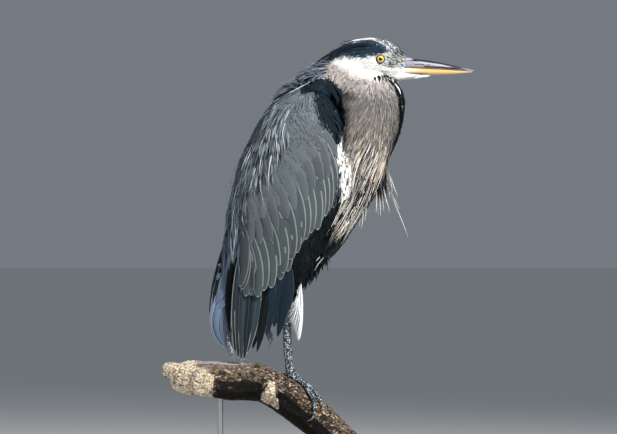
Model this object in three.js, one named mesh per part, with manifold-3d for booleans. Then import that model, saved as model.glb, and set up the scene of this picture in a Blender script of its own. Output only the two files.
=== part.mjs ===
// A grey heron, life size, resting hunched on one leg on a cut length of dead branch,
// which two short rods hold over a flat display base. The bird looks along +X, its right
// side faces -Y, and +Z is up. The origin is the middle of the base's underside.
// Sizes are in millimetres. Bird, perch and stand are solids that touch without overlapping.
import * as THREE from "three";
import { mergeVertices } from "three/addons/utils/BufferGeometryUtils.js";
import Module from "manifold-3d";

const wasm = await Module();
wasm.setup();

// ---------------------------------------------------------------- driving dimensions
const GAP = 0.35; // clearance left between neighbouring pieces
const EASE = 0.08; // how far a finished surface may move when its small facets are merged
const BASE = { length: 400, width: 250, thick: 20, corner: 40, bevel: 2.5 };
const ROD = { radius: 5, flange: 15, flangeThick: 4, socket: 12 };
const ROD_X = { rear: -118, front: 72 };
const PERCH_RADIUS = 33;
const SIDES = { right: -1, left: 1 };

const EYE = { x: 153.5, z: 740.5, out: 14.6, radius: 7.6 };
const BILL = { root: 187, tip: 313, tipZ: 720.6 };
const TARSUS = { front: 5.4, side: 4.3 }; // half sizes of the shank's oval section
const HOCK = { deep: 8, wide: 6.8, tall: 10.5 };
const TOE = { root: 4.4, end: 3.0 };
const CLAW = { root: 2.3, tip: 0.5 };

const VANE = 1.3; // half thickness of a stack of feathers drawn as one blade

const COLOURS = {
  slate: [0.3, 0.33, 0.36],
  grey: [0.46, 0.47, 0.48],
  pale: [0.72, 0.69, 0.66],
  white: [0.9, 0.9, 0.88],
  black: [0.05, 0.06, 0.08],
  bill: [0.5, 0.47, 0.46],
  yellow: [0.85, 0.62, 0.25],
  iris: [0.9, 0.78, 0.15],
  leg: [0.42, 0.42, 0.38],
  claw: [0.2, 0.2, 0.2],
  bark: [0.38, 0.3, 0.22],
  board: [0.16, 0.12, 0.1],
  steel: [0.6, 0.6, 0.6],
};

const material = {};
for (const [name, rgb] of Object.entries(COLOURS)) {
  const metal = name === "steel";
  material[name] = new THREE.MeshStandardMaterial({
    name,
    color: new THREE.Color(...rgb),
    roughness: metal ? 0.35 : 0.75,
    metalness: metal ? 1 : 0,
  });
}

// ---------------------------------------------------------------- making solids

// A three.js geometry as a solid, turned the right way out.
function solid(geometry) {
  const bare = new THREE.BufferGeometry();
  bare.setAttribute("position", geometry.getAttribute("position").clone());
  bare.setIndex(geometry.index ? geometry.index.clone() : null);
  const merged = mergeVertices(bare, 1e-4);
  const faces = new Uint32Array(merged.index.array);
  const points = merged.attributes.position.array;
  const build = () =>
    new wasm.Manifold(new wasm.Mesh({ numProp: 3, vertProperties: points, triVerts: faces }));
  const made = build();
  if (made.volume() > 0) return made;
  for (let i = 0; i < faces.length; i += 3) {
    [faces[i + 1], faces[i + 2]] = [faces[i + 2], faces[i + 1]];
  }
  return build();
}

function geometryOf(made) {
  const mesh = made.getMesh();
  const positions = new Float32Array(mesh.numVert * 3);
  for (let i = 0; i < mesh.numVert; i++) {
    positions.set(mesh.vertProperties.subarray(i * mesh.numProp, i * mesh.numProp + 3), i * 3);
  }
  const geometry = new THREE.BufferGeometry();
  geometry.setAttribute("position", new THREE.BufferAttribute(positions, 3));
  geometry.setIndex(new THREE.BufferAttribute(mesh.triVerts, 1));
  geometry.computeVertexNormals();
  return geometry;
}

const join = (...solids) => solids.reduce((whole, next) => whole.add(next));

// How much of its full section a rounded end has, at a distance from its pole.
function roundOff(distance, length) {
  if (distance >= length) return 1;
  const left = 1 - distance / length;
  return Math.sqrt(Math.max(0, 1 - left * left));
}

// A closed body whose oval section changes along a smooth line. A station is
// [x, y, z, half depth, half width, egg]. Width is measured along `side`, depth across it and
// the line. A positive egg widens the section towards its +depth side. `round` holds the
// lengths over which the two ends close, and `swell` adds to the radius at (share, angle).
function loft(stations, options = {}) {
  const { around = 12, along = 12, grow = 0, round = [6, 6], swell = null } = options;
  const side = options.side ?? new THREE.Vector3(0, 1, 0);
  const line = new THREE.CatmullRomCurve3(stations.map((s) => new THREE.Vector3(s[0], s[1], s[2])));
  const sizes = new THREE.CatmullRomCurve3(
    stations.map((s) => new THREE.Vector3(s[3], s[4], s[5] ?? 0)),
    false,
    "catmullrom",
  );
  const first = line.getPoint(0).addScaledVector(line.getTangent(0), -grow);
  const last = line.getPoint(1).addScaledVector(line.getTangent(1), grow);
  const geometry = new THREE.SphereGeometry(1, around, along);
  const position = geometry.getAttribute("position");
  for (let row = 0; row <= along; row++) {
    const step = row / along;
    const share = step - (Math.sin(2 * Math.PI * step) / (2 * Math.PI)) * 0.75;
    const centre = row === 0 ? first : row === along ? last : line.getPoint(share);
    const ahead = line.getTangent(share);
    const wide = side.clone().addScaledVector(ahead, -side.dot(ahead)).normalize();
    const deep = ahead.clone().cross(wide);
    const size = sizes.getPoint(share);
    const atEnd = row === 0 || row === along;
    const full = atEnd
      ? 0
      : roundOff(centre.distanceTo(first), round[0] + grow) *
        roundOff(centre.distanceTo(last), round[1] + grow);
    for (let column = 0; column <= around; column++) {
      const angle = ((column % around) / around) * 2 * Math.PI;
      const extra = grow + (swell ? swell(share, angle) : 0);
      const depth = (size.x + extra) * full * Math.cos(angle);
      const width = (size.y + extra) * full * Math.sin(angle) * (1 + size.z * Math.cos(angle));
      const point = centre.clone().addScaledVector(deep, depth).addScaledVector(wide, width);
      position.setXYZ(row * (around + 1) + column, point.x, point.y, point.z);
    }
  }
  return solid(geometry);
}

// The same stations on the other side of the bird.
const onSide = (stations, sign) => stations.map(([x, y, z, ...sizes]) => [x, y * sign, z, ...sizes]);

// Every piece is a name, a colour and a function of how far to grow. Each is cut back by the
// grown form of those before it that it could touch, so an earlier piece keeps its whole shape.
const pieces = [];
function piece(name, colour, make) {
  pieces.push({ name, colour, make });
}

function overlaps(a, b) {
  return [0, 1, 2].every((axis) => a.min[axis] <= b.max[axis] && b.min[axis] <= a.max[axis]);
}

function largestOf(made) {
  const bodies = made.decompose();
  return bodies.reduce((best, body) => (body.volume() > best.volume() ? body : best));
}

function assemble() {
  const heron = new THREE.Group();
  const placed = [];
  for (const { name, colour, make } of pieces) {
    let body = make(0);
    for (const earlier of placed) {
      if (overlaps(body.boundingBox(), earlier.boundingBox())) body = body.subtract(earlier);
    }
    const whole = largestOf(body.simplify(EASE));
    const mesh = new THREE.Mesh(geometryOf(whole), material[colour]);
    mesh.name = name;
    heron.add(mesh);
    placed.push(make(GAP));
  }
  return heron;
}

// ---------------------------------------------------------------- display stand

function boardOutline(inset) {
  const x = BASE.length / 2 - inset;
  const y = BASE.width / 2 - inset;
  const r = BASE.corner - inset;
  const outline = new THREE.Shape();
  outline.moveTo(-x + r, -y);
  outline.lineTo(x - r, -y);
  outline.absarc(x - r, -y + r, r, -Math.PI / 2, 0, false);
  outline.absarc(x - r, y - r, r, 0, Math.PI / 2, false);
  outline.absarc(-x + r, y - r, r, Math.PI / 2, Math.PI, false);
  outline.absarc(-x + r, -y + r, r, Math.PI, 1.5 * Math.PI, false);
  return outline;
}

piece("stand_base", "board", (grow) => {
  const board = new THREE.ExtrudeGeometry(boardOutline(BASE.bevel - grow), {
    depth: BASE.thick - 2 * BASE.bevel + 2 * grow,
    bevelThickness: BASE.bevel,
    bevelSize: BASE.bevel,
    bevelSegments: 1,
    curveSegments: 3,
  });
  return solid(board.translate(0, 0, BASE.bevel - grow));
});

// A turned steel rod on a round flange, standing on the board and ending inside the perch.
function rod(x, top, grow) {
  const foot = BASE.thick + GAP - grow;
  const flangeTop = BASE.thick + GAP + ROD.flangeThick + grow;
  const profile = [
    [0, foot],
    [ROD.flange + grow, foot],
    [ROD.flange + grow, flangeTop],
    [ROD.radius + grow, flangeTop],
    [ROD.radius + grow, top + grow],
    [0, top + grow],
  ].map(([radius, height]) => new THREE.Vector2(radius, height));
  return solid(new THREE.LatheGeometry(profile, 12).rotateX(Math.PI / 2).translate(x, 0, 0));
}

// ---------------------------------------------------------------- perch

// The branch's centre line, from its broken end to the sawn one.
const BRANCH = [
  [-206, 0, 202, 18, 22],
  [-180, 0, 199.5, 28.5, 30],
  [-140, 0, 197.5, 31.5, 33],
  [-100, 0, 193, 34, 34],
  [-65, 0, 194, 33, 33],
  [-35, 0, 187.5, 32, 32],
  [-2, 0, 165, 33, 32],
  [30, 0, 140, 32, 31],
  [54, 0, 121, 31, 30],
  [84, 0, 92, 30, 29],
  [112, 0, 69, 29, 29],
];
const branchUnder = (x) => {
  const after = BRANCH.findIndex((s) => s[0] > x);
  const [a, b] = [BRANCH[after - 1], BRANCH[after]];
  const share = (x - a[0]) / (b[0] - a[0]);
  const slope = Math.hypot(b[0] - a[0], b[2] - a[2]) / (b[0] - a[0]);
  return a[2] + (b[2] - a[2]) * share - PERCH_RADIUS * slope;
};

for (const [end, x] of Object.entries(ROD_X)) {
  piece(`stand_rod_${end}`, "steel", (grow) => rod(x, branchUnder(x) + ROD.socket, grow));
}

// ---------------------------------------------------------------- legs and feet

// A point beside the branch: how far along, how far round from its top towards the bird's
// right, and how high over the bark.
function onPerch(x, degrees, height) {
  const after = Math.max(1, BRANCH.findIndex((s) => s[0] > x));
  const [a, b] = [BRANCH[after - 1], BRANCH[after]];
  const share = (x - a[0]) / (b[0] - a[0]);
  const length = Math.hypot(b[0] - a[0], b[2] - a[2]);
  const up = [(a[2] - b[2]) / length, (b[0] - a[0]) / length];
  const turn = THREE.MathUtils.degToRad(degrees);
  const out = PERCH_RADIUS - 1 + height;
  const across = out * Math.cos(turn);
  return [x + up[0] * across, -out * Math.sin(turn), a[2] + (b[2] - a[2]) * share + up[1] * across];
}
const wrap = (steps, height) => steps.map(([x, degrees]) => onPerch(x, degrees, height));

// The standing foot's toes wrap the perch. Each step is a place along it and an angle round it.
const GRIP = {
  outer: wrap([[-14, 6], [-2, 10], [10, 22], [22, 40], [30, 57], [35, 71], [38, 84]], 3.6),
  middle: [onPerch(-14, 3, 3.6), onPerch(4, 6, 5.5), onPerch(18, 12, 5.5), ...wrap([[28, 22], [36, 32]], 3.6)],
  inner: wrap([[-14, 0], [0, -18], [11, -40], [18, -62], [19, -84]], 3.6),
  hind: wrap([[-16, -8], [-26, -34], [-35, -58], [-40, -78]], 3.4),
};
const GRIP_CLAWS = {
  outer: [...wrap([[38, 84], [39, 98]], 3.4), onPerch(35, 110, 0.6)],
  middle: [...wrap([[36, 32], [41, 45]], 3.4), onPerch(41, 58, 0.6)],
  inner: [...wrap([[19, -84], [17, -98]], 3.4), onPerch(11, -108, 0.6)],
  hind: [...wrap([[-40, -78], [-40, -93]], 3.4), onPerch(-35, -104, 0.6)],
};
// The resting foot hangs behind the wing tips, its toes half closed, clear of the perch.
const LOOSE = {
  inner: [[-57, 4, 303], [-46, -3, 292], [-36, -9, 276], [-32, -12, 260]],
  middle: [[-60, 5, 301], [-61, 4, 282], [-65, 3, 264], [-71, 2, 248]],
  outer: [[-62, 6, 304], [-86, 0, 292], [-105, -8, 272], [-103, -13, 255], [-98, -14, 238]],
  hind: [[-63, 7, 307], [-71, 13, 302], [-76, 16, 291], [-75, 16, 280]],
};
const LOOSE_CLAWS = {
  inner: [[-32, -12, 260], [-33, -12, 252], [-41, -12, 246]],
  middle: [[-71, 2, 248], [-76, 1, 241], [-84, 1, 238.5]],
  outer: [[-98, -14, 238], [-94, -14, 231.5], [-87, -14, 229]],
  hind: [[-75, 16, 280], [-73, 15, 272], [-67, 14, 268]],
};

function toe(line, grow) {
  const stations = line.map((point, i) => {
    const size = THREE.MathUtils.lerp(TOE.root, TOE.end, i / (line.length - 1));
    return [...point, size, size];
  });
  return loft(stations, { around: 6, along: 6, grow, round: [4, 3], side: new THREE.Vector3(0.3, 1, 0) });
}

function claw(line, grow) {
  const stations = line.map((point, i) => {
    const size = THREE.MathUtils.lerp(CLAW.root, CLAW.tip, i / (line.length - 1));
    return [...point, size, size * 0.8];
  });
  return loft(stations, { around: 6, along: 5, grow, round: [1.5, 0.8], side: new THREE.Vector3(0.3, 1, 0) });
}

function foot(side, toes, claws) {
  for (const [name, line] of Object.entries(claws)) {
    piece(`claw_${side}_${name}`, "claw", (grow) => claw(line, grow));
  }
  for (const [name, line] of Object.entries(toes)) {
    piece(`toe_${side}_${name}`, "leg", (grow) => toe(line, grow));
  }
}

// Bare shank, hock joint and the lower end of the shin, as one run of sections.
function shank(stations, grow) {
  const sized = stations.map(([x, y, z, size]) => [x, y, z, TARSUS.front * size, TARSUS.side * size]);
  return loft(sized, { around: 8, along: 7, grow, round: [4, 5] });
}

const STANDING = {
  hock: [-5, -14, 334],
  tarsus: [
    [2.5, -4, 205, 1.4], [-1, -5, 213, 1.4], [-3, -8, 240, 1.27],
    [-4.5, -10, 262, 1.06], [-5, -11, 295, 1.0], [-5, -13, 330, 1.15],
  ],
  shin: [[-4, -14, 338, 1.15], [4, -18, 360, 1.1], [12, -22, 380, 1.2], [18, -25, 394, 1.3]],
};
// The other leg is drawn up, with its hock hidden in the flank feathers.
const RESTING_TARSUS = [
  [-60, 5, 303, 1.25],
  [-55, 8, 311, 1.0],
  [-38, 17, 340, 0.95],
  [-19, 26, 372, 1.0],
  [-10, 30, 388, 1.15],
];

foot("right", GRIP, GRIP_CLAWS);
piece("hock_right", "leg", (grow) => {
  const knob = new THREE.SphereGeometry(1, 8, 7);
  knob.scale(HOCK.deep + grow, HOCK.wide + grow, HOCK.tall + grow);
  return solid(knob.translate(...STANDING.hock));
});
piece("tarsus_right", "leg", (grow) => shank(STANDING.tarsus, grow));
piece("shin_right", "leg", (grow) => shank(STANDING.shin, grow));
foot("left", LOOSE, LOOSE_CLAWS);
piece("tarsus_left", "leg", (grow) => shank(RESTING_TARSUS, grow));

piece("perch", "bark", (grow) => {
  const knobbly = (share, angle) =>
    0.8 * Math.sin(3 * angle + 9 * share) + 0.6 * Math.sin(19 * share + 2 * angle);
  const stem = loft(BRANCH, { around: 12, along: 13, grow, round: [9, 3], swell: knobbly });
  const brokenKnot = loft(
    [[-148, -8, 195, 25, 23], [-149, -30, 192, 25, 22], [-149, -45, 190, 21, 18]],
    { side: new THREE.Vector3(1, 0, 0), around: 10, along: 5, grow, round: [8, 7] },
  );
  const snag = loft(
    [[-38, -8, 190, 15, 15], [-35, -30, 179, 15, 15], [-31, -45, 163, 13, 12]],
    { side: new THREE.Vector3(1, 0, 0), around: 8, along: 5, grow, round: [6, 4] },
  );
  const tongue = loft(
    [[-190, -6, 210.5, 16.5, 20], [-208, -6, 212.5, 14.5, 16], [-219, -8, 213, 10, 10]],
    { around: 8, along: 5, grow, round: [5, 4] },
  );
  return join(stem, brokenKnot, snag, tongue);
});


// ---------------------------------------------------------------- head

for (const [side, sign] of Object.entries(SIDES)) {
  piece(`eye_${side}`, "iris", (grow) =>
    solid(new THREE.SphereGeometry(EYE.radius + grow, 10, 7).translate(EYE.x, sign * EYE.out, EYE.z)),
  );
}

piece("head", "white", (grow) => {
  const skull = loft(
    [
      [66, 0, 734, 12, 12, 0],
      [84, 0, 740, 21, 18, 0.05],
      [104, 0, 744, 28, 21, 0.05],
      [126, 0, 746, 31, 22, 0.05],
      [146, 0, 745, 32.5, 21.5, 0],
      [166, 0, 741, 31, 19.5, -0.1],
      [182, 0, 735, 26, 16, -0.15],
      [199, 0, 731, 17, 10.5, -0.1],
    ],
    { around: 14, along: 10, grow, round: [10, 7] },
  );
  const chin = loft(
    [[160, 0, 716, 12, 13], [188, 0, 713, 9, 9], [212, 0, 712.5, 4.5, 6], [232, 0, 712.5, 1.2, 2.5]],
    { around: 8, along: 6, grow, round: [6, 2] },
  );
  return join(skull, chin);
});

piece("bill_upper", "bill", (grow) =>
  loft(
    [
      [BILL.root - 14, 0, 735, 8.5, 9.5, -0.2],
      [BILL.root + 7, 0, 735.4, 8.4, 8.4, -0.2],
      [216, 0, 733.4, 7.6, 7.0, -0.25],
      [240, 0, 730.6, 6.6, 5.7, -0.25],
      [272, 0, 726, 4.3, 3.8, -0.2],
      [298, 0, 722.4, 2.2, 2.2, -0.1],
      [BILL.tip, 0, BILL.tipZ, 0.7, 0.7, 0],
    ],
    { around: 8, along: 10, grow, round: [3, 1.5] },
  ),
);
piece("bill_lower", "yellow", (grow) =>
  loft(
    [
      [BILL.root - 16, 0, 721.4, 5.4, 9.0, 0.15],
      [BILL.root + 7, 0, 721, 5.5, 8.0, 0.15],
      [216, 0, 719.6, 5.7, 6.7, 0.15],
      [240, 0, 717.8, 5.6, 5.3, 0.15],
      [264, 0, 717.4, 4.3, 4.0, 0.1],
      [289, 0, 717.8, 2.2, 2.5, 0],
      [BILL.tip - 4, 0, BILL.tipZ - 1.8, 0.6, 0.7, 0],
    ],
    { around: 8, along: 9, grow, round: [3, 1.5] },
  ),
);

for (const [side, sign] of Object.entries(SIDES)) {
  piece(`crest_${side}`, "black", (grow) => {
    const plume = [
      [150, 17, 763, 2, 1.6],
      [128, 19.5, 765, 7, 2.4],
      [100, 18, 761, 8, 2.4],
      [75, 13, 752, 6, 2.2],
      [54, 8, 741, 4, 2.0],
      [38, 5, 728, 2.6, 1.6],
      [23, 3, 714, 1, 0.9],
    ];
    return loft(onSide(plume, sign), { around: 6, along: 9, grow, round: [3, 1.2] });
  });
}

// ---------------------------------------------------------------- neck and trunk

piece("neck_upper", "pale", (grow) =>
  loft(
    [
      [128, 0, 726, 26, 21, 0],
      [100, 0, 719, 29, 26, 0],
      [72, 0, 706, 33, 32, 0],
      [44, 0, 687, 36, 40, 0],
      [20, 0, 662, 36, 46, 0],
    ],
    { around: 12, along: 6, grow, round: [12, 14] },
  ),
);
piece("neck_lower", "pale", (grow) =>
  loft(
    [
      [148, 0, 720, 28, 20, 0],
      [143, 0, 705, 43, 26, -0.05],
      [139, 0, 688, 53, 32, -0.1],
      [137, 0, 668, 57, 38, -0.2],
      [136, 0, 640, 57, 42, -0.25],
      [130, 0, 600, 50, 44, -0.25],
      [112, 0, 558, 44, 44, -0.2],
      [90, 0, 516, 40, 42, -0.15],
      [70, 0, 480, 32, 36, -0.1],
    ],
    { around: 14, along: 10, grow, round: [12, 18] },
  ),
);
// Feathered thigh, with the loose white tuft that hangs over the hock.
const THIGH = [
  [24, -30, 412, 22, 15, 0],
  [20, -26, 388, 17, 14, 0],
  [14, -21, 362, 11, 11, 0],
  [10, -17, 338, 11, 9, 0],
  [12, -15, 312, 9.5, 7, 0],
  [16, -14, 292, 5.5, 4, 0],
  [18.5, -14, 276, 1.2, 1, 0],
];
const THIGH_RESTING = [
  [20, 32, 438, 22, 17, 0],
  [8, 32, 414, 18, 16, 0],
  [-6, 29, 390, 14, 13, 0],
  [-18, 25, 368, 9, 9, 0],
  [-27, 21, 350, 3, 3, 0],
];
piece("thigh_right", "white", (grow) => loft(THIGH, { around: 8, along: 9, grow, round: [10, 2] }));
piece("thigh_left", "white", (grow) =>
  loft(THIGH_RESTING, { around: 10, along: 8, grow, round: [10, 2] }),
);

piece("trunk", "slate", (grow) =>
  loft(
    [
      [34, 0, 672, 40, 42, 0],
      [26, 0, 636, 68, 58, -0.1],
      [20, 0, 590, 88, 66, -0.15],
      [12, 0, 540, 98, 68, -0.2],
      [2, 0, 486, 96, 65, -0.2],
      [-10, 0, 440, 84, 57, -0.15],
      [-24, 0, 400, 64, 46, -0.1],
      [-38, 0, 366, 45, 33, 0],
      [-52, 0, 334, 28, 20, 0],
    ],
    { around: 14, along: 10, grow, round: [24, 16] },
  ),
);

// ---------------------------------------------------------------- tail and wings

// A long feather as a thin blade: half its breadth lies across the line, in the plane of view.
function blade(line, breadth, grow, options = {}) {
  const steps = line.length - 1;
  const stations = line.map((point, i) => {
    const outline = Math.pow(Math.sin(Math.PI * (0.16 + (0.72 * i) / steps)), 0.6);
    return [...point, breadth * outline, VANE];
  });
  return loft(stations, { around: 4, along: 6, grow, round: [4, breadth * 0.8], ...options });
}

// The shut tail is a steep roof: each side is an outer and an inner stack of its feathers.
piece("tail", "slate", (grow) => {
  const feathers = [];
  for (const sign of Object.values(SIDES)) {
    for (const fan of [0, 1]) {
      const side = new THREE.Vector3(-0.75 + 0.4 * fan, sign, 0.2);
      const line = [
        [-66, sign * (5 + 5 * fan), 356],
        [-92 - 8 * fan, sign * (9 + 8 * fan), 312],
        [-106 - 12 * fan, sign * (8 + 11 * fan), 272 + 8 * fan],
        [-101 - 16 * fan, sign * (5 + 9 * fan), 236 + 26 * fan],
      ];
      feathers.push(blade(line, 15, grow, { side }));
    }
  }
  const root = loft(
    [[-58, 0, 372, 22, 14], [-78, 0, 338, 18, 15], [-92, 0, 306, 10, 11]],
    { around: 8, along: 5, grow, round: [8, 6] },
  );
  return join(root, ...feathers);
});

// The wing's long quills, shut like a fan: primaries innermost, then secondaries in front.
function quills(sign, grow) {
  const tips = [
    [-70, 14, 233],
    [-52, 20, 241],
    [-38, 26, 256],
    [-22, 33, 282],
    [-7, 40, 318],
  ];
  const feathers = tips.map(([x, y, z], i) => {
    const fan = i / (tips.length - 1);
    const root = [-52 + 34 * fan, sign * (36 + 10 * fan), 392 + 26 * fan];
    const middle = [-72 + 54 * fan, sign * (y + 12 - 4 * fan), (root[2] + z) / 2 - 4];
    return blade([root, middle, [x - 2 + 2 * fan, sign * (y + 3), z + 26], [x, sign * y, z]], 12, grow);
  });
  const stack = loft(
    [
      [-38, sign * 42, 400, 24, 8],
      [-46, sign * 37, 360, 22, 7],
      [-54, sign * 30, 315, 17, 5],
      [-58, sign * 24, 276, 11, 3],
    ],
    { around: 8, along: 5, grow, round: [10, 8] },
  );
  return join(stack, ...feathers);
}

// The shut wing from the wrist to the tips of the great coverts, a deep oval shield.
const SHIELD = [
  [48, -38, 688, 18, 15],
  [44, -42, 668, 37, 22],
  [33, -45, 640, 56, 27],
  [18, -47, 600, 65, 29],
  [5, -48, 552, 76, 30],
  [-8, -47, 505, 79, 29],
  [-28, -44, 456, 65, 25],
  [-50, -40, 406, 44, 19],
  [-66, -36, 362, 27, 12],
  [-74, -33, 332, 16, 7],
];

// Long back plumes fall over the wing's rear edge in a shaggy mantle that ends in fine tips.
const MANTLE = [
  [30, 14, 692, 22, 24],
  [0, 15, 664, 26, 38],
  [-27, 15, 620, 30, 44],
  [-52, 15, 568, 32, 44],
  [-72, 15, 512, 29, 40],
  [-84, 15, 460, 25, 34],
  [-96, 15, 408, 19, 23],
  [-107, 14, 362, 11, 12],
  [-113, 12, 322, 5, 4],
];

for (const [side, sign] of Object.entries(SIDES)) {
  piece(`quills_${side}`, "slate", (grow) => quills(sign, grow));
  piece(`wing_${side}`, "grey", (grow) =>
    loft(onSide(SHIELD, -sign), { around: 12, along: 9, grow, round: [14, 12] }),
  );
  piece(`mantle_${side}`, "grey", (grow) => {
    const cape = loft(onSide(MANTLE, sign), { around: 10, along: 9, grow, round: [12, 3] })
      .trimByPlane([0, sign, 0], GAP / 2 - grow);
    const plumes = [0, 1].map((i) => {
      const start = [-92 + 8 * i, sign * (27 + 5 * i), 470 - 8 * i];
      const end = [-134 + 22 * i, sign * (10 + 10 * i), 316 + 14 * i];
      const middle = [start[0] - 24 + 14 * i, sign * (22 + 7 * i), 400 + 6 * i];
      return blade([start, middle, end], 5.5, grow);
    });
    return join(cape, ...plumes);
  });
}

// ---------------------------------------------------------------- breast plumes

// Long narrow plumes hang from the base of the neck: a curtain over the belly, with free tips.
piece("breast_plumes", "white", (grow) => {
  const curtain = loft(
    [
      [156, 0, 582, 14, 20, 0],
      [144, 0, 550, 19, 29, 0],
      [119, 0, 506, 20, 33, 0],
      [94, 0, 466, 18, 32, 0],
      [78, 0, 432, 13, 27, 0],
      [60, 0, 404, 7, 17, 0],
    ],
    { around: 10, along: 7, grow, round: [10, 5] },
  );
  const strands = [
    [[152, -6, 556], [176, -8, 499], [193, -9, 437]],
    [[154, 5, 562], [170, 8, 522], [182, 10, 496]],
    [[140, -12, 545], [149, -14, 512], [150, -15, 483]],
    [[136, 10, 545], [144, 14, 505], [143, 16, 474]],
    [[118, -15, 520], [127, -18, 495], [127, -19, 473]],
    [[112, 12, 505], [120, 17, 478], [117, 18, 453]],
  ].map((line) => {
    const sizes = [2.4, 1.4, 0.7];
    const stations = line.map((point, i) => [...point, sizes[i], sizes[i]]);
    return loft(stations, { around: 4, along: 4, grow, round: [2, 0.8] });
  });
  return join(curtain, ...strands);
});

export default assemble();
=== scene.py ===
import math

import bmesh
import bpy
import numpy as np
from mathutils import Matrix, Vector
from mathutils.bvhtree import BVHTree


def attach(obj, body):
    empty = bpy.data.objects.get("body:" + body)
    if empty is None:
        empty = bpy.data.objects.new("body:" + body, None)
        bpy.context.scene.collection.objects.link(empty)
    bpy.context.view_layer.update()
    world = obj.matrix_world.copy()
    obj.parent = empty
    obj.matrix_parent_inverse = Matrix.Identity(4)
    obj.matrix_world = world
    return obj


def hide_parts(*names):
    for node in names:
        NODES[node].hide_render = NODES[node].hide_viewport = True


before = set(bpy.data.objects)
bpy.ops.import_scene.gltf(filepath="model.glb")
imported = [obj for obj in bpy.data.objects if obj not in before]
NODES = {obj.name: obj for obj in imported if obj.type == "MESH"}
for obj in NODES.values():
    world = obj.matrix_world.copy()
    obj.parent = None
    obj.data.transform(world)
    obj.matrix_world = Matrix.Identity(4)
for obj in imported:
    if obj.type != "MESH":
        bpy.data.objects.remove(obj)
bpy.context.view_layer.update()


# ============================================================ skin
# The bird's skin under its feathers: head, neck, trunk, shut wings and thighs in one piece.
# Thin bare skin, seen only in chinks between feathers, so it carries the plumage's markings.
# It is the CAD flesh made one by a voxel remesh, eased smooth and sunk by the coat's depth.

MM = 0.001
FLESH = (
    "head", "neck_upper", "neck_lower", "trunk", "thigh_right", "thigh_left",
    "wing_right", "wing_left", "mantle_right", "mantle_left",
)
# The mass of plumes hanging from the breast, as X, Y, Z, half depth and half width in mm.
PLUME_MASS = [
    (156, 0, 582, 14, 20), (144, 0, 550, 19, 29), (119, 0, 506, 20, 33), (94, 0, 466, 18, 32),
    (78, 0, 432, 13, 27), (60, 0, 404, 7, 17),
]
VOXEL = 0.0026
EYE_MM = np.array([153.5, 14.6, 740.5])


def new_object(name, data):
    """A scene object with the given data."""
    obj = bpy.data.objects.new(name, data)
    bpy.context.scene.collection.objects.link(obj)
    return obj


def object_of(bm, name):
    """A mesh object made from a finished bmesh."""
    data = bpy.data.meshes.new(name)
    bm.to_mesh(data)
    bm.free()
    return new_object(name, data)


def joined(names, name, extras=()):
    """One object holding copies of several CAD nodes and the meshes of some more objects."""
    bm = bmesh.new()
    for node_name in names:
        bm.from_mesh(NODES[node_name].data)
    for extra in extras:
        bm.from_mesh(extra.data)
        bpy.data.objects.remove(extra)
    return object_of(bm, name)


def tube(name, stations, around=28, fine=6, square=1.0, shape=None):
    """A closed smooth tube through stations of X, Y, Z, half depth and half width, in mm."""
    stations = np.asarray(stations, float)
    count = (len(stations) - 1) * fine + 1
    places = np.linspace(0, len(stations) - 1, count)
    index = np.clip(places.astype(int), 0, len(stations) - 2)
    t = (places - index)[:, None]
    padded = np.vstack([2 * stations[0] - stations[1], stations, 2 * stations[-1] - stations[-2]])
    a, b, c, d = (padded[index + k] for k in range(4))
    curve = (2 * a - 5 * b + 4 * c - d) * t ** 2 + (3 * b - a - 3 * c + d) * t ** 3
    rows = 0.5 * (2 * b + (c - a) * t + curve)
    along = unit(np.gradient(rows[:, :3], axis=0))
    width_way = unit(np.cross(along, np.tile((0.0, 1.0, 0.0), (count, 1))))
    side_way = np.cross(width_way, along)
    turn = np.linspace(0, 2 * math.pi, around, endpoint=False)
    c, s = np.cos(turn), np.sin(turn)
    c, s = np.sign(c) * np.abs(c) ** square, np.sign(s) * np.abs(s) ** square
    half_deep = np.maximum(rows[:, 3], 0.15)[:, None, None]
    half_wide = np.maximum(rows[:, 4], 0.15)[:, None, None]
    points = (rows[:, None, :3] + width_way[:, None, :] * half_deep * s[None, :, None]
              + side_way[:, None, :] * half_wide * c[None, :, None])
    if shape is not None:
        points = shape(points, rows, turn)
    ring = np.arange(around)
    cell = (np.arange(count - 1) * around)[:, None]
    nxt = (ring + 1) % around
    quads = np.stack([cell + ring, cell + nxt, cell + around + nxt, cell + around + ring], -1).reshape(-1, 4)
    bm = bmesh.new()
    verts = [bm.verts.new(p) for p in points.reshape(-1, 3) * MM]
    for quad in quads:
        bm.faces.new([verts[i] for i in quad]).smooth = True
    for first in (0, (count - 1) * around):
        bm.faces.new([verts[first + i] for i in range(around)]).smooth = True
    bmesh.ops.recalc_face_normals(bm, faces=bm.faces)
    return object_of(bm, name)


def remeshed(obj, voxel):
    """obj's mesh made one closed skin of even small faces, without inner leftovers."""
    change = obj.modifiers.new("remesh", "REMESH")
    change.mode = "VOXEL"
    change.voxel_size = voxel
    depsgraph = bpy.context.evaluated_depsgraph_get()
    data = bpy.data.meshes.new_from_object(obj.evaluated_get(depsgraph))
    obj.modifiers.clear()
    bm = bmesh.new()
    bm.from_mesh(data)
    seen, islands = set(), []
    for start in bm.verts:
        if start in seen:
            continue
        island, edge_of_it = [start], [start]
        seen.add(start)
        while edge_of_it:
            for edge in edge_of_it.pop().link_edges:
                for other in edge.verts:
                    if other not in seen:
                        seen.add(other)
                        island.append(other)
                        edge_of_it.append(other)
        islands.append(island)
    islands.sort(key=len)
    for island in islands[:-1]:
        bmesh.ops.delete(bm, geom=island, context="VERTS")
    bm.to_mesh(data)
    bm.free()
    obj.data = data
    return obj


def rows_of(items, field, width=3, kind=np.float32):
    """One field of a mesh's vertices, edges, faces or corners, as an array of rows."""
    flat = np.empty(len(items) * width, kind)
    items.foreach_get(field, flat)
    return flat.reshape(-1, width)


def points_of(data):
    """Where a mesh's vertices are."""
    return rows_of(data.vertices, "co").astype(float)


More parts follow.
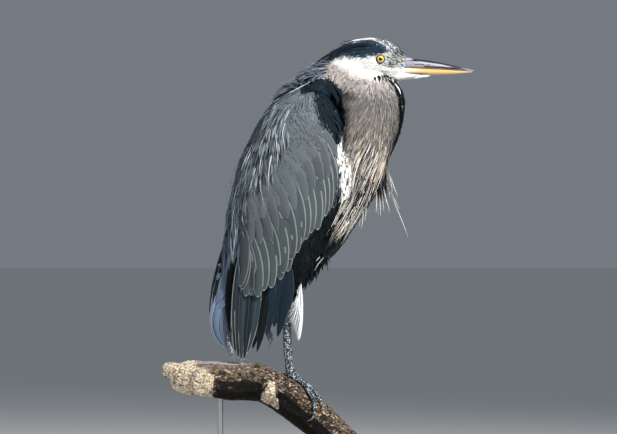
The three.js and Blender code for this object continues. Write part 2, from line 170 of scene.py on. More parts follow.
def edges_of(data):
    """A mesh's edges as pairs of vertex numbers."""
    return rows_of(data.edges, "vertices", 2, np.int32)


def normals_of(data):
    """The way each vertex of a mesh faces."""
    return rows_of(data.vertex_normals, "vector").astype(float)


def moved_to(data, points):
    """Puts a mesh's vertices at new places and shades it smooth."""
    data.vertices.foreach_set("co", points.ravel())
    data.update()
    data.polygons.foreach_set("use_smooth", np.ones(len(data.polygons), bool))


def spread(values, edges, count):
    """The mean of each vertex's neighbours."""
    ends = np.concatenate([edges[:, 0], edges[:, 1]])
    others = np.concatenate([edges[:, 1], edges[:, 0]])
    links = np.maximum(np.bincount(ends, minlength=count), 1)
    columns = [np.bincount(ends, values[others, k], minlength=count) / links for k in range(3)]
    return np.stack(columns, 1)


def ease(points, edges, rounds, share):
    """Smooths a surface without shrinking it. share is how strongly, for each vertex."""
    for turn in range(rounds * 2):
        pull = 0.6 if turn % 2 == 0 else -0.62
        points = points + (spread(points, edges, len(points)) - points) * (pull * share)[:, None]
    return points


def unit(rows):
    """Each row at length 1."""
    return rows / np.maximum(np.linalg.norm(rows, axis=-1, keepdims=True), 1e-12)


def ramp(value, low, high):
    """0 at low, 1 at high, eased between them."""
    share = np.clip((value - low) / (high - low), 0.0, 1.0)
    return share * share * (3 - 2 * share)


def band(p, path, soft):
    """1 inside a stripe seen from the side, 0 outside. path rows are X, Z, half width in mm."""
    best = np.full(len(p), -1e9)
    path = np.asarray(path, float)
    for a, b in zip(path[:-1], path[1:]):
        along = b[:2] - a[:2]
        rel = p[:, (0, 2)] - a[:2]
        share = np.clip(rel @ along / (along @ along), 0, 1)
        off = np.linalg.norm(rel - share[:, None] * along, axis=1)
        best = np.maximum(best, a[2] + (b[2] - a[2]) * share - off)
    return ramp(best, -soft, soft)


def blend(base, colour, mask):
    """base moved towards a colour by each row's share in mask."""
    return base + (np.asarray(colour) - base) * mask[:, None]


WHITE = (0.97, 0.965, 0.95)
CREAM = (0.96, 0.94, 0.89)
PALE_NECK = (0.40, 0.365, 0.355)
GREY_NECK = (0.150, 0.143, 0.136)
BLACK = (0.005, 0.008, 0.010)
BLUE_BLACK = (0.007, 0.014, 0.022)
CROWN_BLACK = (0.009, 0.024, 0.044)
WING = (0.100, 0.122, 0.138)
LIT_WING = (0.130, 0.152, 0.176)
BACK = (0.066, 0.092, 0.128)
LORE = (0.30, 0.33, 0.36)
TAIL_GREY = (0.118, 0.165, 0.250)

# Stripes and patches as paths of X, Z and half width in mm, as seen from either side.
CROWN_BAND = [(171, 752, 2), (160, 756, 8), (143, 759.5, 15.5), (129, 760, 17), (114, 759.5, 16),
              (102, 759, 12.5), (80, 756, 9), (55, 741, 8), (36, 729, 4)]
CARPAL = [(20, 688, 3), (30, 693, 6), (44, 696, 10), (58, 687, 18), (66, 671, 23.5), (70, 654, 23.5),
          (77, 640, 20.5), (80, 627, 13.5), (77, 608, 5), (74, 598, 1.5)]
WRIST = [(20, 688, 8), (42, 694, 14), (60, 684, 24), (68, 664, 30), (74, 640, 26), (78, 615, 20)]
BREAST_WHITE = [(87, 629, 3), (86, 615, 7), (88, 601, 10.5), (92, 585, 12.5), (95, 568, 12),
                (99, 553, 10.5), (100, 541, 10), (98, 529, 8), (95, 517, 4)]
BREAST_BUFF = [(109, 592, 4), (111, 572, 6), (109, 556, 5)]
FRONT_STREAK = [(160, 711.5, 3), (170, 708, 4.5), (179, 699, 6), (185.5, 686, 6.2), (189, 670, 6),
                (189.5, 652, 5.5), (188, 634, 4.5), (184, 618, 4.5), (176.5, 597, 4), (169, 578, 2.5),
                (165, 568, 1.5)]
THROAT_LINE = [(161, 712, 1.4), (169, 709, 2.8), (175, 702, 3), (179.5, 693, 2.6), (183.5, 682, 2.2),
               (185.5, 670, 2), (186, 650, 2), (185.5, 630, 2), (183, 614, 2), (177, 598, 1.8),
               (170, 582, 1.5)]
THROAT_WHITE = [(176, 704, 0.7), (181, 696, 0.9), (186, 686, 0.9), (189.5, 674, 0.9), (190.3, 667, 0.9),
                (189.9, 650, 0.8)]
# Painted shade in the fold where the neck meets the wing's wrist, as X, Z and half width in mm.
NECK_FOLD_SHADE = [(92, 694, 2), (100, 686, 7), (108, 682, 5), (116, 682, 2)]
BELLY_SHEEN = [(98, 444, 3), (86, 430, 6), (70, 412, 5)]
# Height of the pale line that parts the neck from the wing's wrist, by X, in mm.
RIM_LINE = ([0, 17, 32, 47, 62, 75, 85, 91, 95], [678, 691, 704, 708, 707, 700, 690, 672, 400])
FLANK = [(88, 500, 16), (62, 460, 30), (36, 420, 34), (14, 388, 26), (-6, 352, 22)]


def markings(points):
    """The plumage's colour at points on the bird, in metres."""
    p = points / MM
    x, y, z = p.T
    out = np.tile(np.array(BACK), (len(p), 1))
    wing = ramp(np.abs(y), 30, 44) * ramp(x, -96, -72) * ramp(700 - z, 0, 20)
    out = blend(out, WING, wing)
    # Painted light: the small soft coverts toward the wing's upper front are painted paler, where the light
    # falls.
    soft = wing * ramp(x * 0.75 + z * 0.66, 400, 470)
    out = blend(out, LIT_WING, soft)
    neck = ramp(x * 0.86 + z * 0.5, 392, 402) * ramp(z, 520, 560)
    nape = ramp(x - 0.55 * (z - 711), 41, 57) * ramp(z, 668, 690) * ramp(z - np.interp(x, *RIM_LINE), -2, 2)
    front = np.maximum(neck * (1 - ramp(z, 668, 690)), nape)
    out = blend(out, GREY_NECK, front)
    out = blend(out, PALE_NECK, front * ramp(z, 655, 712))
    out = blend(out, CREAM, ramp(x + 0.35 * (z - 700), 108, 140) * ramp(z, 706, 722))
    out = blend(out, WHITE, ramp(x + 1.6 * (z - 735), 66, 118) * ramp(z, 704, 716))
    belly = ramp(x * 0.86 - z * 0.5, -205, -185) * ramp(-z, -560, -540)
    under = ramp(-z, -372, -352) * ramp(x, -60, -40)
    body = ramp(46 - np.abs(y), -4, 6)
    out = blend(out, BLACK, np.maximum(belly, under) * np.maximum(body, ramp(x, 60, 90)))
    out = blend(out, BLACK, band(p, FLANK, 4) * body)
    out = blend(out, (0.022, 0.028, 0.030), band(p, BELLY_SHEEN, 3))
    out = blend(out, WHITE, band(p, BREAST_WHITE, 5) * ramp(np.abs(y), 14, 26))
    out = blend(out, WHITE, ramp(-z, -352, -346) * ramp(x, -6, 0))
    out = blend(out, TAIL_GREY, ramp(-z, -416, -388) * ramp(-x, 84, 92))
    out = blend(out, GREY_NECK, ramp(x, 90, 95) * ramp(z, 596, 606) * ramp(-z, -676, -664))
    # Painted shade: the fold of the neck is darkened.
    out = blend(out, (0.045, 0.048, 0.040), 0.85 * band(p, NECK_FOLD_SHADE, 4))
    out = blend(out, BLUE_BLACK, band(p, CARPAL, 2.5) * ramp(np.abs(y), 6, 12))
    streak = band(p, FRONT_STREAK, 2.0) * ramp(34 - np.abs(y), 0, 8)
    out = blend(out, BLACK, streak)
    out = blend(out, WHITE, band(p, THROAT_WHITE, 0.8) * ramp(np.abs(y), 3, 4.5))
    off_middle = np.maximum(ramp(np.abs(y), 4.5, 7.5), ramp(-x, -122, -106))
    out = blend(out, CROWN_BLACK, band(p, CROWN_BAND, 2.0) * off_middle)
    out = blend(out, (0.17, 0.17, 0.15), ramp(x, 184, 190) * ramp(z, 741, 744))
    face = ramp(x, 158, 170) * ramp(z, 726, 730) * ramp(-z, -748, -744)
    out = blend(out, LORE, face)
    lore_edge = band(p, [(151, 730, 0.7), (156, 732, 1.0), (170, 730, 1.1), (188, 728, 0.8)], 0.6)
    lore_edge = lore_edge * ramp(np.abs(y), 7, 9)
    out = blend(out, (0.02, 0.025, 0.03), lore_edge)
    return out


def set_colours(data, name, colours):
    """A colour for each vertex, as a named attribute."""
    rows = np.ones((len(colours), 4), np.float32)
    rows[:, :3] = colours
    layer = data.color_attributes.new(name, "FLOAT_COLOR", "POINT")
    layer.data.foreach_set("color", rows.ravel())


skin = remeshed(joined(FLESH + ("eye_right", "eye_left"), "skin", [tube("plume_mass", PLUME_MASS)]), VOXEL)
skin_points = points_of(skin.data)
on_head = ramp(skin_points[:, 2] - 0.35 * (0.19 - skin_points[:, 0]), 0.66, 0.70)
skin_points = ease(skin_points, edges_of(skin.data), 26, 1.0 - 0.8 * on_head)
moved_to(skin.data, skin_points)
envelope_normals = normals_of(skin.data)


def coat_depth(points):
    """How far the skin lies under the feathers' outer surface, in metres."""
    x, y, z = points.T / MM
    head = ramp(x * 0.5 + z, 770, 790)
    wing = ramp(np.abs(y), 40, 56)
    return (4.2 - 2.4 * head + 0.8 * wing) * MM


to_eye = np.linalg.norm(skin_points * [1, 0, 1] - EYE_MM * [1, 0, 1] * MM, axis=1) / MM
socket = (1 - ramp(to_eye, 6.0, 8.6)) * ramp(np.abs(skin_points[:, 1]), 0.008, 0.012)
corners = rows_of(skin.data.polygons, "vertices", 4, np.int32)
envelope = BVHTree.FromPolygons([Vector(p) for p in skin_points], corners.tolist())
thick = np.array([(envelope.ray_cast(Vector(p - 0.0004 * n), Vector(-n))[3] or 0.05)
                  for p, n in zip(skin_points, envelope_normals)])
depth = np.minimum(coat_depth(skin_points) + socket * 0.0035, 0.3 * thick)
sunk = skin_points - envelope_normals * depth[:, None]
moved_to(skin.data, sunk)
set_colours(skin.data, "Tint", markings(sunk))
sunk_x, _, sunk_z = (sunk / MM).T
bare = ramp(sunk_x, 159, 164) * ramp(sunk_z, 726, 729) * (1 - ramp(sunk_z, 745, 749))
set_colours(skin.data, "Bare", np.repeat(bare[:, None], 3, 1))

bpy.context.view_layer.objects.active = skin
skin.data.uv_layers.new(name="OFBake")
bpy.ops.object.mode_set(mode="EDIT")
bpy.ops.mesh.select_all(action="SELECT")
bpy.ops.uv.smart_project(angle_limit=math.radians(66), island_margin=0.002)
bpy.ops.object.mode_set(mode="OBJECT")

skin_points = points_of(skin.data)
skin_normals = normals_of(skin.data)
corner_vertex = rows_of(skin.data.loops, "vertex_index", 1, np.int32)[:, 0]
corner_start = rows_of(skin.data.polygons, "loop_start", 1, np.int32)[:, 0]
corner_uv = rows_of(skin.data.uv_layers["OFBake"].data, "uv", 2)
FACES = corner_vertex[corner_start[:, None] + np.arange(4)]
FACE_MIDDLE = skin_points[FACES].mean(1)
FACE_AREA = np.linalg.norm(np.cross(skin_points[FACES[:, 2]] - skin_points[FACES[:, 0]],
                                    skin_points[FACES[:, 3]] - skin_points[FACES[:, 1]]), axis=1) / 2
SKIN_TREE = BVHTree.FromPolygons([Vector(p) for p in skin_points], FACES.tolist())


def node(tree, kind, sockets=None, **settings):
    """Adds a shader node. Sockets take either a value or another node's output."""
    made = tree.nodes.new("ShaderNode" + kind)
    for key, value in settings.items():
        setattr(made, key, value)
    for key, value in (sockets or {}).items():
        if isinstance(value, bpy.types.NodeSocket):
            tree.links.new(value, made.inputs[key])
        else:
            made.inputs[key].default_value = value
    return made.outputs


def material(name, constants):
    """A new node material. Returns it, its tree and its shader, whose own sockets hold the constants."""
    made = bpy.data.materials.new(name)
    made.use_nodes = True
    shader = made.node_tree.nodes["Principled BSDF"]
    for socket, value in constants.items():
        shader.inputs[socket].default_value = value
    return made, made.node_tree, shader


def tree_of(*values):
    """The node tree of the first socket among some values."""
    return next(value.id_data for value in values if isinstance(value, bpy.types.NodeSocket))


def mix(factor, a, b, blend_type="MIX"):
    """Colour a turned to colour b by a factor."""
    sockets = {0: factor, 6: a, 7: b}
    return node(tree_of(factor, a, b), "Mix", sockets, data_type="RGBA", blend_type=blend_type)[2]


def maths(operation, a, b=0.0, c=0.0):
    return node(tree_of(a, b, c), "Math", {0: a, 1: b, 2: c}, operation=operation)[0]


def times(a, b):
    return maths("MULTIPLY", a, b)


def times_plus(a, b, c):
    return maths("MULTIPLY_ADD", a, b, c)


def step(value, low, high):
    """0 at low, 1 at high, eased between them."""
    return node(tree_of(value), "MapRange", {0: value, 1: low, 2: high}, interpolation_type="SMOOTHSTEP")[0]


def painted(base, colour, mask):
    """base with a colour laid over it where the mask is 1."""
    return mix(mask, base, (*colour, 1))


def object_place(tree):
    """Where a point lies on the bird, in metres."""
    return node(tree, "TexCoord")["Object"]


def stretched(where, x, y, z):
    """A place with its pattern drawn out along an axis."""
    return node(tree_of(where), "Mapping", {0: where, 3: (x, y, z)})[0]


def noise(where, scale, detail=2.0, roughness=0.5):
    sockets = {"Vector": where, "Scale": scale, "Detail": detail, "Roughness": roughness}
    return node(tree_of(where), "TexNoise", sockets)["Fac"]


def stored_colour(tree, name):
    """A colour kept on the mesh's vertices."""
    return node(tree, "Attribute", attribute_name=name)["Color"]


def surfaced(shader, colour, height=None, strength=0.0, distance=0.0):
    """Links a material's colour to its shader, and a bump where a height is given."""
    tree = colour.id_data
    tree.links.new(colour, shader.inputs["Base Color"])
    if height:
        bump = node(tree, "Bump", {"Strength": strength, "Distance": distance, "Height": height})[0]
        tree.links.new(bump, shader.inputs["Normal"])


def dress(obj, look, replaces=()):
    """Gives a piece its material and body, and hides the CAD nodes that it stands for."""
    obj.data.materials.clear()
    obj.data.materials.append(look)
    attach(obj, "root")
    if replaces:
        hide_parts(*replaces)


skin_look, tree, shader = material("plumage_skin", {"Roughness": 0.8})
where = object_place(tree)
tint = stored_colour(tree, "Tint")
fluffy = mix(noise(where, 900, 4), mix(1.0, tint, (0.55, 0.55, 0.55, 1), "MULTIPLY"), tint)
streaky = stretched(where, 0.6, 1.0, 1.0)
fleck = noise(streaky, 330, 4, 0.75)
lore = mix(step(noise(streaky, 120), 0.45, 0.62), (0.30, 0.36, 0.44, 1), (0.66, 0.60, 0.42, 1))
lore = painted(lore, (0.03, 0.04, 0.055), step(fleck, 0.545, 0.475))
lore = painted(lore, (0.78, 0.78, 0.76), step(fleck, 0.60, 0.67))
is_bare = node(tree, "SeparateColor", {0: stored_colour(tree, "Bare")})[0]
surfaced(shader, mix(is_bare, fluffy, lore))
dress(skin, skin_look, replaces=FLESH)


# ============================================================ feathers: how they are laid
# Each feather is one thin curved vane with a raised shaft, rooted in the skin and following
# the lie of the plumage. Small ones are scattered by tract and run along the skin's surface.

# The lie of the plumage as seen from the side: X, Z in mm, and the way a feather there points.
LIE = np.array([
    (192, 738, -0.80, 0.60), (178, 758, -0.75, 0.66), (158, 772, -0.97, 0.25), (132, 778, -1.0, -0.05),
    (104, 770, -0.94, -0.35), (80, 758, -0.88, -0.48), (58, 742, -0.80, -0.60), (150, 745, -0.98, 0.10),
    (120, 742, -0.98, -0.20), (182, 722, -1.0, 0.02), (205, 711, -1.0, -0.03), (168, 717, -1.0, -0.08),
    (148, 706, -0.15, -0.98), (165, 707, 0.45, -0.89), (175, 700, 0.55, -0.83), (160, 694, 0.10, -0.99),
    (130, 712, -0.90, -0.42), (96, 724, -0.85, -0.52), (60, 715, -0.80, -0.60),
    (183, 690, 0.35, -0.94), (190, 676, 0.10, -1.0), (193, 645, -0.06, -1.0), (185, 600, -0.28, -0.96),
    (166, 560, -0.42, -0.91), (146, 676, -0.20, -0.98), (118, 684, -0.45, -0.89), (95, 690, -0.62, -0.78),
    (150, 624, -0.32, -0.95), (118, 640, -0.50, -0.87), (102, 604, -0.42, -0.90), (128, 575, -0.48, -0.88),
    (30, 708, -0.80, -0.60), (0, 690, -0.80, -0.60), (-48, 651, -0.66, -0.75), (-80, 603, -0.45, -0.89),
    (-96, 535, -0.20, -0.98), (-105, 442, -0.08, -1.0), (-124, 360, -0.14, -0.99),
    (-5, 660, -0.40, -0.92), (-28, 630, -0.14, -0.99), (-50, 590, -0.14, -0.99), (-20, 600, 0.12, -0.99),
    (-45, 520, 0.14, -0.99), (-72, 520, -0.10, -1.0), (-60, 460, 0.10, -1.0),
    (30, 694, 0.30, -0.95), (60, 690, 0.30, -0.95), (82, 655, 0.05, -1.0), (76, 612, 0.02, -1.0),
    (30, 640, 0.16, -0.99), (50, 560, 0.20, -0.98), (0, 500, 0.22, -0.97), (-50, 420, 0.12, -0.99),
    (92, 560, -0.10, -0.99), (92, 520, -0.22, -0.97), (110, 500, -0.45, -0.89), (86, 450, -0.52, -0.85),
    (50, 400, -0.58, -0.81), (20, 372, -0.50, -0.87), (-12, 350, -0.30, -0.95), (-45, 340, -0.20, -0.98),
    (12, 330, 0.10, -1.0), (16, 295, 0.15, -1.0),
], float)


def lie(points, normals):
    """The unit direction a feather runs at each point, along the surface."""
    p = points[:, (0, 2)] / MM
    gap = ((p[:, None, :] - LIE[None, :, :2]) ** 2).sum(2) + 30.0
    weight = 1.0 / gap ** 1.6
    flat = (weight[:, :, None] * LIE[None, :, 2:]).sum(1)
    way = unit(np.stack([flat[:, 0], np.zeros(len(p)), flat[:, 1]], 1))
    way -= (way * normals).sum(1, keepdims=True) * normals
    return unit(way)


def snapped(points):
    """The nearest places on the skin, with its eased normals there."""
    places = np.empty_like(points)
    ways = np.empty_like(points)
    find = SKIN_TREE.find_nearest
    for i, p in enumerate(points):
        place, _, face, _ = find(Vector(p))
        corners = FACES[face]
        near = 1.0 / (np.abs(skin_points[corners] - place).sum(1) + 1e-5)
        places[i] = place
        ways[i] = near @ skin_normals[corners]
    return places, unit(ways)


def roots_on_skin(count, wanted, seed):
    """count roots on the skin, spread by area and by wanted(face middles), with their OFBake places."""
    rng = np.random.default_rng(seed)
    share = FACE_AREA * wanted(FACE_MIDDLE)
    faces = rng.choice(len(FACES), count, p=share / share.sum())
    a, b = rng.random((2, count))
    weights = np.stack([(1 - a) * (1 - b), a * (1 - b), a * b, (1 - a) * b], 1)[:, :, None]
    points = (weights * skin_points[FACES[faces]]).sum(1)
    normals = unit((weights * skin_normals[FACES[faces]]).sum(1))
    uv = (weights * corner_uv[corner_start[faces][:, None] + np.arange(4)]).sum(1)
    return points, normals, uv


def run_along(points, normals, length, steps, sway, seed):
    """Spines that march over the skin from their roots along the lie of the plumage."""
    rng = np.random.default_rng(seed)
    swing = rng.normal(0, sway, len(points))
    stride = length / steps
    spine, outward = [points], [normals]
    free = np.zeros(len(points), bool)
    way = None
    for _ in range(steps):
        fresh = lie(points, normals)
        fresh = unit(fresh + np.cross(normals, fresh) * swing[:, None])
        way = fresh if way is None else np.where(free[:, None], way, fresh)
        ahead = points + way * stride[:, None]
        places, ways = snapped(ahead)
        free |= np.linalg.norm(ahead - places, axis=1) > 0.32 * stride
        points = np.where(free[:, None], ahead, places)
        normals = np.where(free[:, None], normals, ways)
        spine.append(points)
        outward.append(normals)
    return np.stack(spine, 1), np.stack(outward, 1)


def vane_mesh(name, spine, outward, half, uv, tint, rim, columns, cup, tilt=None, ridge=0.12, reach=None):
    """Feathers as one mesh. spine and outward are feather by step by XYZ, half is feather by step.

    cup drops the edges by that share of the half width, and tilt turns each vane about its shaft.
    uv is each root's place on the unwrapped skin. Where it is None, the feathers are packed side by side.
    """
    count, steps = half.shape
    along = np.gradient(spine, axis=1)
    side = unit(np.cross(unit(outward), unit(along)))
    up = unit(np.cross(along, side))
    if tilt is not None:
        turn = np.broadcast_to(tilt, count)[:, None, None]
        side, up = side * np.cos(turn) + up * np.sin(turn), up * np.cos(turn) - side * np.sin(turn)
    across = np.linspace(-1, 1, columns)
    drop = -cup * across ** 2 + ridge * (1 - np.abs(across)) ** 2
    points = (spine[:, :, None, :] + side[:, :, None, :] * (half[:, :, None] * across)[..., None]
              + up[:, :, None, :] * (half[:, :, None] * drop)[..., None])
    first = (np.arange(count) * steps * columns)[:, None, None]
    cell = first + (np.arange(steps - 1) * columns)[None, :, None] + np.arange(columns - 1)[None, None, :]
    quads = np.stack([cell, cell + 1, cell + columns + 1, cell + columns], -1).reshape(-1, 4)
    data = bpy.data.meshes.new(name)
    flat = points.reshape(-1, 3).astype(np.float32)
    data.vertices.add(len(flat))
    data.vertices.foreach_set("co", flat.ravel())
    data.loops.add(len(quads) * 4)
    data.loops.foreach_set("vertex_index", quads.ravel().astype(np.int32))
    data.polygons.add(len(quads))
    data.polygons.foreach_set("loop_start", np.arange(0, len(quads) * 4, 4, dtype=np.int32))
    data.polygons.foreach_set("use_smooth", np.ones(len(quads), bool))
    data.update(calc_edges=True)
    reach = np.linspace(0, 1, steps) if reach is None else reach
    vane_u = np.broadcast_to((across + 1) / 2, (count, steps, columns))
    vane_v = np.broadcast_to(reach[:, None], (count, steps, columns))
    if uv is None:
        rows = math.ceil(math.sqrt(count / 3))
        tall = math.ceil(count / rows)
        number = np.arange(count)
        corner = np.stack([(number % rows) / rows, (number // rows) / tall], 1)
        size = np.array([0.9 / rows, 0.9 / tall])
    else:
        size = np.array([0.003, 0.003])
        corner = uv - size / 2
    bake = corner[:, None, None, :] + np.stack([vane_u, vane_v], -1) * size
    for layer_name, places in (("OFBake", bake), ("Vane", np.stack([vane_u, vane_v], -1))):
        layer = data.uv_layers.new(name=layer_name)
        layer.data.foreach_set("uv", places.reshape(-1, 2)[quads.ravel()].astype(np.float32).ravel())
    for layer_name, colours in (("Tint", tint), ("Rim", rim)):
        colours = np.asarray(colours, float)
        if colours.ndim == 2:
            colours = np.repeat(colours[:, None, :], steps, 1)
        each = np.repeat(colours[:, :, None, :], columns, 2).reshape(-1, 3)
        set_colours(data, layer_name, each)
    return new_object(name, data)


# One look for every feather: barbs slant off a pale shaft, and the edge and tip take the rim
# colour. Its inputs say how strong each is, so a tract of down and a flight feather share it.
feather_group = bpy.data.node_groups.new("feather", "ShaderNodeTree")
for socket, kind, default in (
        ("Barbs", "NodeSocketFloat", 60.0), ("Barb strength", "NodeSocketFloat", 0.3),
        ("Rim width", "NodeSocketFloat", 0.15), ("Shaft", "NodeSocketFloat", 0.3)):
    made = feather_group.interface.new_socket(socket, in_out="INPUT", socket_type=kind)
    made.default_value = default
for socket, kind in (("Colour", "NodeSocketColor"), ("Height", "NodeSocketFloat")):
    feather_group.interface.new_socket(socket, in_out="OUTPUT", socket_type=kind)
tree = feather_group
given = tree.nodes.new("NodeGroupInput").outputs
place = node(tree, "SeparateXYZ", {0: node(tree, "UVMap", uv_map="Vane")[0]})
off_shaft = maths("ABSOLUTE", times_plus(place[0], 2.0, -1.0))
slant = times_plus(off_shaft, -0.22, place[1])
wavy = noise(object_place(tree), 120, 2)
phase = times_plus(slant, given["Barbs"], times(wavy, 5.0))
barb = times_plus(maths("SINE", times(phase, 6.2832)), 0.5, 0.5)
tint = stored_colour(tree, "Tint")
rim = stored_colour(tree, "Rim")
inner = maths("SUBTRACT", 1.0, given["Rim width"])
at_edge = step(off_shaft, maths("SUBTRACT", inner, 0.10), inner)
tip_from = times_plus(given["Rim width"], -0.08, 1.0)
at_tip = step(place[1], maths("SUBTRACT", tip_from, 0.02), tip_from)
edge = maths("MAXIMUM", at_edge, at_tip)
colour = mix(edge, tint, rim)
shade = times_plus(times(barb, given["Barb strength"]), -0.6, 1.08)
colour = mix(1.0, colour, node(tree, "CombineXYZ", {0: shade, 1: shade, 2: shade})[0], "MULTIPLY")
on_shaft = times(maths("SUBTRACT", 1.0, step(off_shaft, 0.03, 0.10)), given["Shaft"])
colour = mix(on_shaft, colour, mix(0.5, rim, tint))
height = times_plus(barb, times(given["Barb strength"], -1.0), on_shaft)
result = tree.nodes.new("NodeGroupOutput").inputs
tree.links.new(colour, result["Colour"])
tree.links.new(height, result["Height"])


def feather_look(name, barbs, strength, rim_width, shaft, rough, bump):
    """A feather material: the shared group with its own barbs, rim, shaft and gloss."""
    made, tree, shader = material(name, {"Roughness": rough, "Specular IOR Level": 0.05})
    group = node(tree, "Group", node_tree=feather_group)
    inputs = group["Colour"].node.inputs
    settings = {"Barbs": barbs, "Barb strength": strength, "Rim width": rim_width, "Shaft": shaft}
    for key, value in settings.items():
        inputs[key].default_value = value
    surfaced(shader, group["Colour"], group["Height"], bump, 0.0004)
    return made


def jitter(colours, amount, seed):
    """Makes each feather a little lighter or darker than its neighbours."""
    rng = np.random.default_rng(seed)
    return np.clip(colours * (1 + rng.normal(0, amount, (len(colours), 1))), 0.004, 0.97)


def shades(colour, count, amount, seed):
    """One colour for each of count feathers, a little lighter or darker than the next."""
    return jitter(np.tile(colour, (count, 1)), amount, seed)


def picked(count, seed, *kinds):
    """Colours drawn by chance. Each kind is a colour and the share at which the next one starts."""
    pick = np.random.default_rng(seed).random(count)
    kind = np.searchsorted([upto for _, upto in kinds[:-1]], pick, "right")
    return np.array([colour for colour, _ in kinds])[kind]


def profile(steps, root, peak, tip, sharp=1.0):
    """Half width along a feather as shares of its widest: at the root, where widest, and at the tip."""
    v = np.linspace(0, 1, steps)
    grow = root + (1 - root) * np.sin(np.clip(v / peak, 0, 1) * math.pi / 2)
    fall = tip + (1 - tip) * np.cos(np.clip((v - peak) / (1 - peak), 0, 1) * math.pi / 2) ** sharp
    return np.minimum(grow, fall)


def values_at(given, points):
    """A size for each feather, from one number or from a function of its root's place."""
    return given(points) if callable(given) else np.full(len(points), float(given))


def tract(name, count, wanted, length, width, look, seed, steps, lift, sway, shape, shade, columns=3,
          cup=0.25, tint=markings, gloss=1.25, replaces=()):
    """A tract of small feathers over part of the skin. length and width are in mm, or functions."""
    points, normals, uv = roots_on_skin(count, wanted, seed)
    rng = np.random.default_rng(seed + 1)
    size = rng.normal(1, 0.12, count).clip(0.7, 1.4)
    long = values_at(length, points) * size * MM
    wide = values_at(width, points) * size * MM / 2
    spine, outward = run_along(points, normals, long, steps, sway, seed + 2)
    top = coat_depth(points) * lift * rng.normal(1, 0.14, count).clip(0.5, 1.5)
    height = 0.0002 + top[:, None] * np.linspace(0, 1, steps + 1) ** 0.8
    spine = spine + outward * height[:, :, None]
    colours = jitter(tint(points + rng.normal(0, 0.0022, points.shape)), shade, seed + 3)
    rims = np.clip(colours * gloss + 0.01 * (gloss - 1), 0, 0.9)
    half = wide[:, None] * profile(steps + 1, *shape)
    dress(vane_mesh(name, spine, outward, half, uv, colours, rims, columns, cup), look, replaces=replaces)


# ============================================================ head feathers
# Very short dense feathers of the face and crown, white with a black band over the eye.
# They are the smallest on the bird and lie flat, swept back from the bill.

down_look = feather_look("face_feather", 14, 0.14, 0.1, 0.1, 0.7, 0.15)
EVERYWHERE = 1e-9  # keeps a tract's share above nothing, so that its roots can always be drawn


def on_face(p):
    """The whole head but the bill, the eyes and the bare skin before them."""
    x, _, z = p.T / MM
    eye = np.hypot(x - EYE_MM[0], z - EYE_MM[2])
    inside = ramp(x * 0.5 + z, 768, 784) * ramp(z, 700, 708)
    bill = 1 - ramp(x, 186, 190) * ramp(z, 716, 720) * (1 - ramp(z, 742, 745))
    bare = ramp(x, 160, 170) * ramp(z, 727, 730) * (1 - ramp(z, 744, 748))
    stripe = ramp(x, 148, 154) * (1 - ramp(x, 180, 187)) * ramp(717 - z, 0, 2)
    return inside * bill * (eye > 7.6) * (1 - bare) * (1 - stripe) + EVERYWHERE


def face_length(p):
    x, _, z = p.T / MM
    return 5.0 + 6.0 * ramp(160 - x, 0, 50) + 1.5 * ramp(724 - z, 0, 12)


def face_tints(p):
    """The head's markings, with the forehead and the bare-edged face flecked dark and pale."""
    x, y, z = p.T / MM
    out = markings(p)
    pick = np.random.default_rng(15).random(len(p))
    forehead = ramp(x, 138, 165) * ramp(z - 0.9 * (190 - x), 728, 736) * ramp(z, 740, 746)
    out = blend(out, (0.16, 0.20, 0.27), forehead * (pick < 0.36))
    out = blend(out, (0.03, 0.04, 0.055), forehead * (pick > 0.64))
    ridge = ramp(x, 146, 156) * ramp(z, 750, 758) * ramp(7 - np.abs(y), 0, 3)
    out = blend(out, (0.05, 0.06, 0.075), ridge * (pick < 0.75))
    brow = ramp(x, 158, 164) * (np.abs(z - 749 + 0.10 * (x - 160)) < 3.5)
    out = blend(out, (0.03, 0.035, 0.04), brow * (pick < 0.45))
    yellow_line = ramp(x, 160, 164) * ramp(180 - x, 0, 4) * (np.abs(z - 747.5 + 0.04 * (x - 160)) < 1.6)
    out = blend(out, (0.84, 0.80, 0.62), yellow_line)
    nose = ramp(x, 180, 188) * ramp(z, 743, 746)
    out = blend(out, (0.15, 0.15, 0.13), nose * (out.mean(1) > 0.3) * (pick < 0.85))
    crown = (out.mean(1) < 0.04) * ramp(150 - x, -6, 10) * ramp(z, 738, 744)
    return blend(out, (0.040, 0.075, 0.115), crown * (pick < 0.24))


tract("face_feathers", 16000, on_face, face_length, 1.15, down_look, 11, steps=3,
      lift=0.9, sway=0.07, shape=(0.6, 0.4, 0.1), shade=0.10, tint=face_tints)


# ============================================================ neck feathers
# Narrow hair-like feathers of the neck, pale mauve grey, darker and longer down to the breast.

hair_look = feather_look("neck_feather", 16, 0.3, 0.12, 0.25, 0.68, 0.25)


def on_neck(p):
    x, y, z = p.T / MM
    low = ramp(x * 0.86 + z * 0.5, 380, 398) * ramp(z, 520, 540)
    nape = ramp(x * 0.86 + z * 0.5, 352, 372) * ramp(z, 676, 690)
    above = ramp(z - np.interp(x, *RIM_LINE), -1, 3)
    breast = 1 - 0.9 * band(p / MM, BREAST_WHITE, 6) * ramp(np.abs(y), 12, 20)
    return np.maximum(low, nape) * above * breast * (1 - 0.9 * ramp(x * 0.5 + z, 776, 790)) + EVERYWHERE


def on_wrist(p):
    return band(p / MM, WRIST, 3) * ramp(np.abs(p[:, 1]) / MM, 6, 14)


def neck_length(p):
    x, _, z = p.T / MM
    near = ramp(z - np.interp(x, *RIM_LINE), 2, 26)
    white = band(p / MM, [(86, 640, 8), (98, 615, 10), (106, 590, 10)], 8)
    return (11.5 + 17 * ramp(700 - z, 0, 130)) * (0.32 + 0.68 * near) * (1 - 0.5 * white)


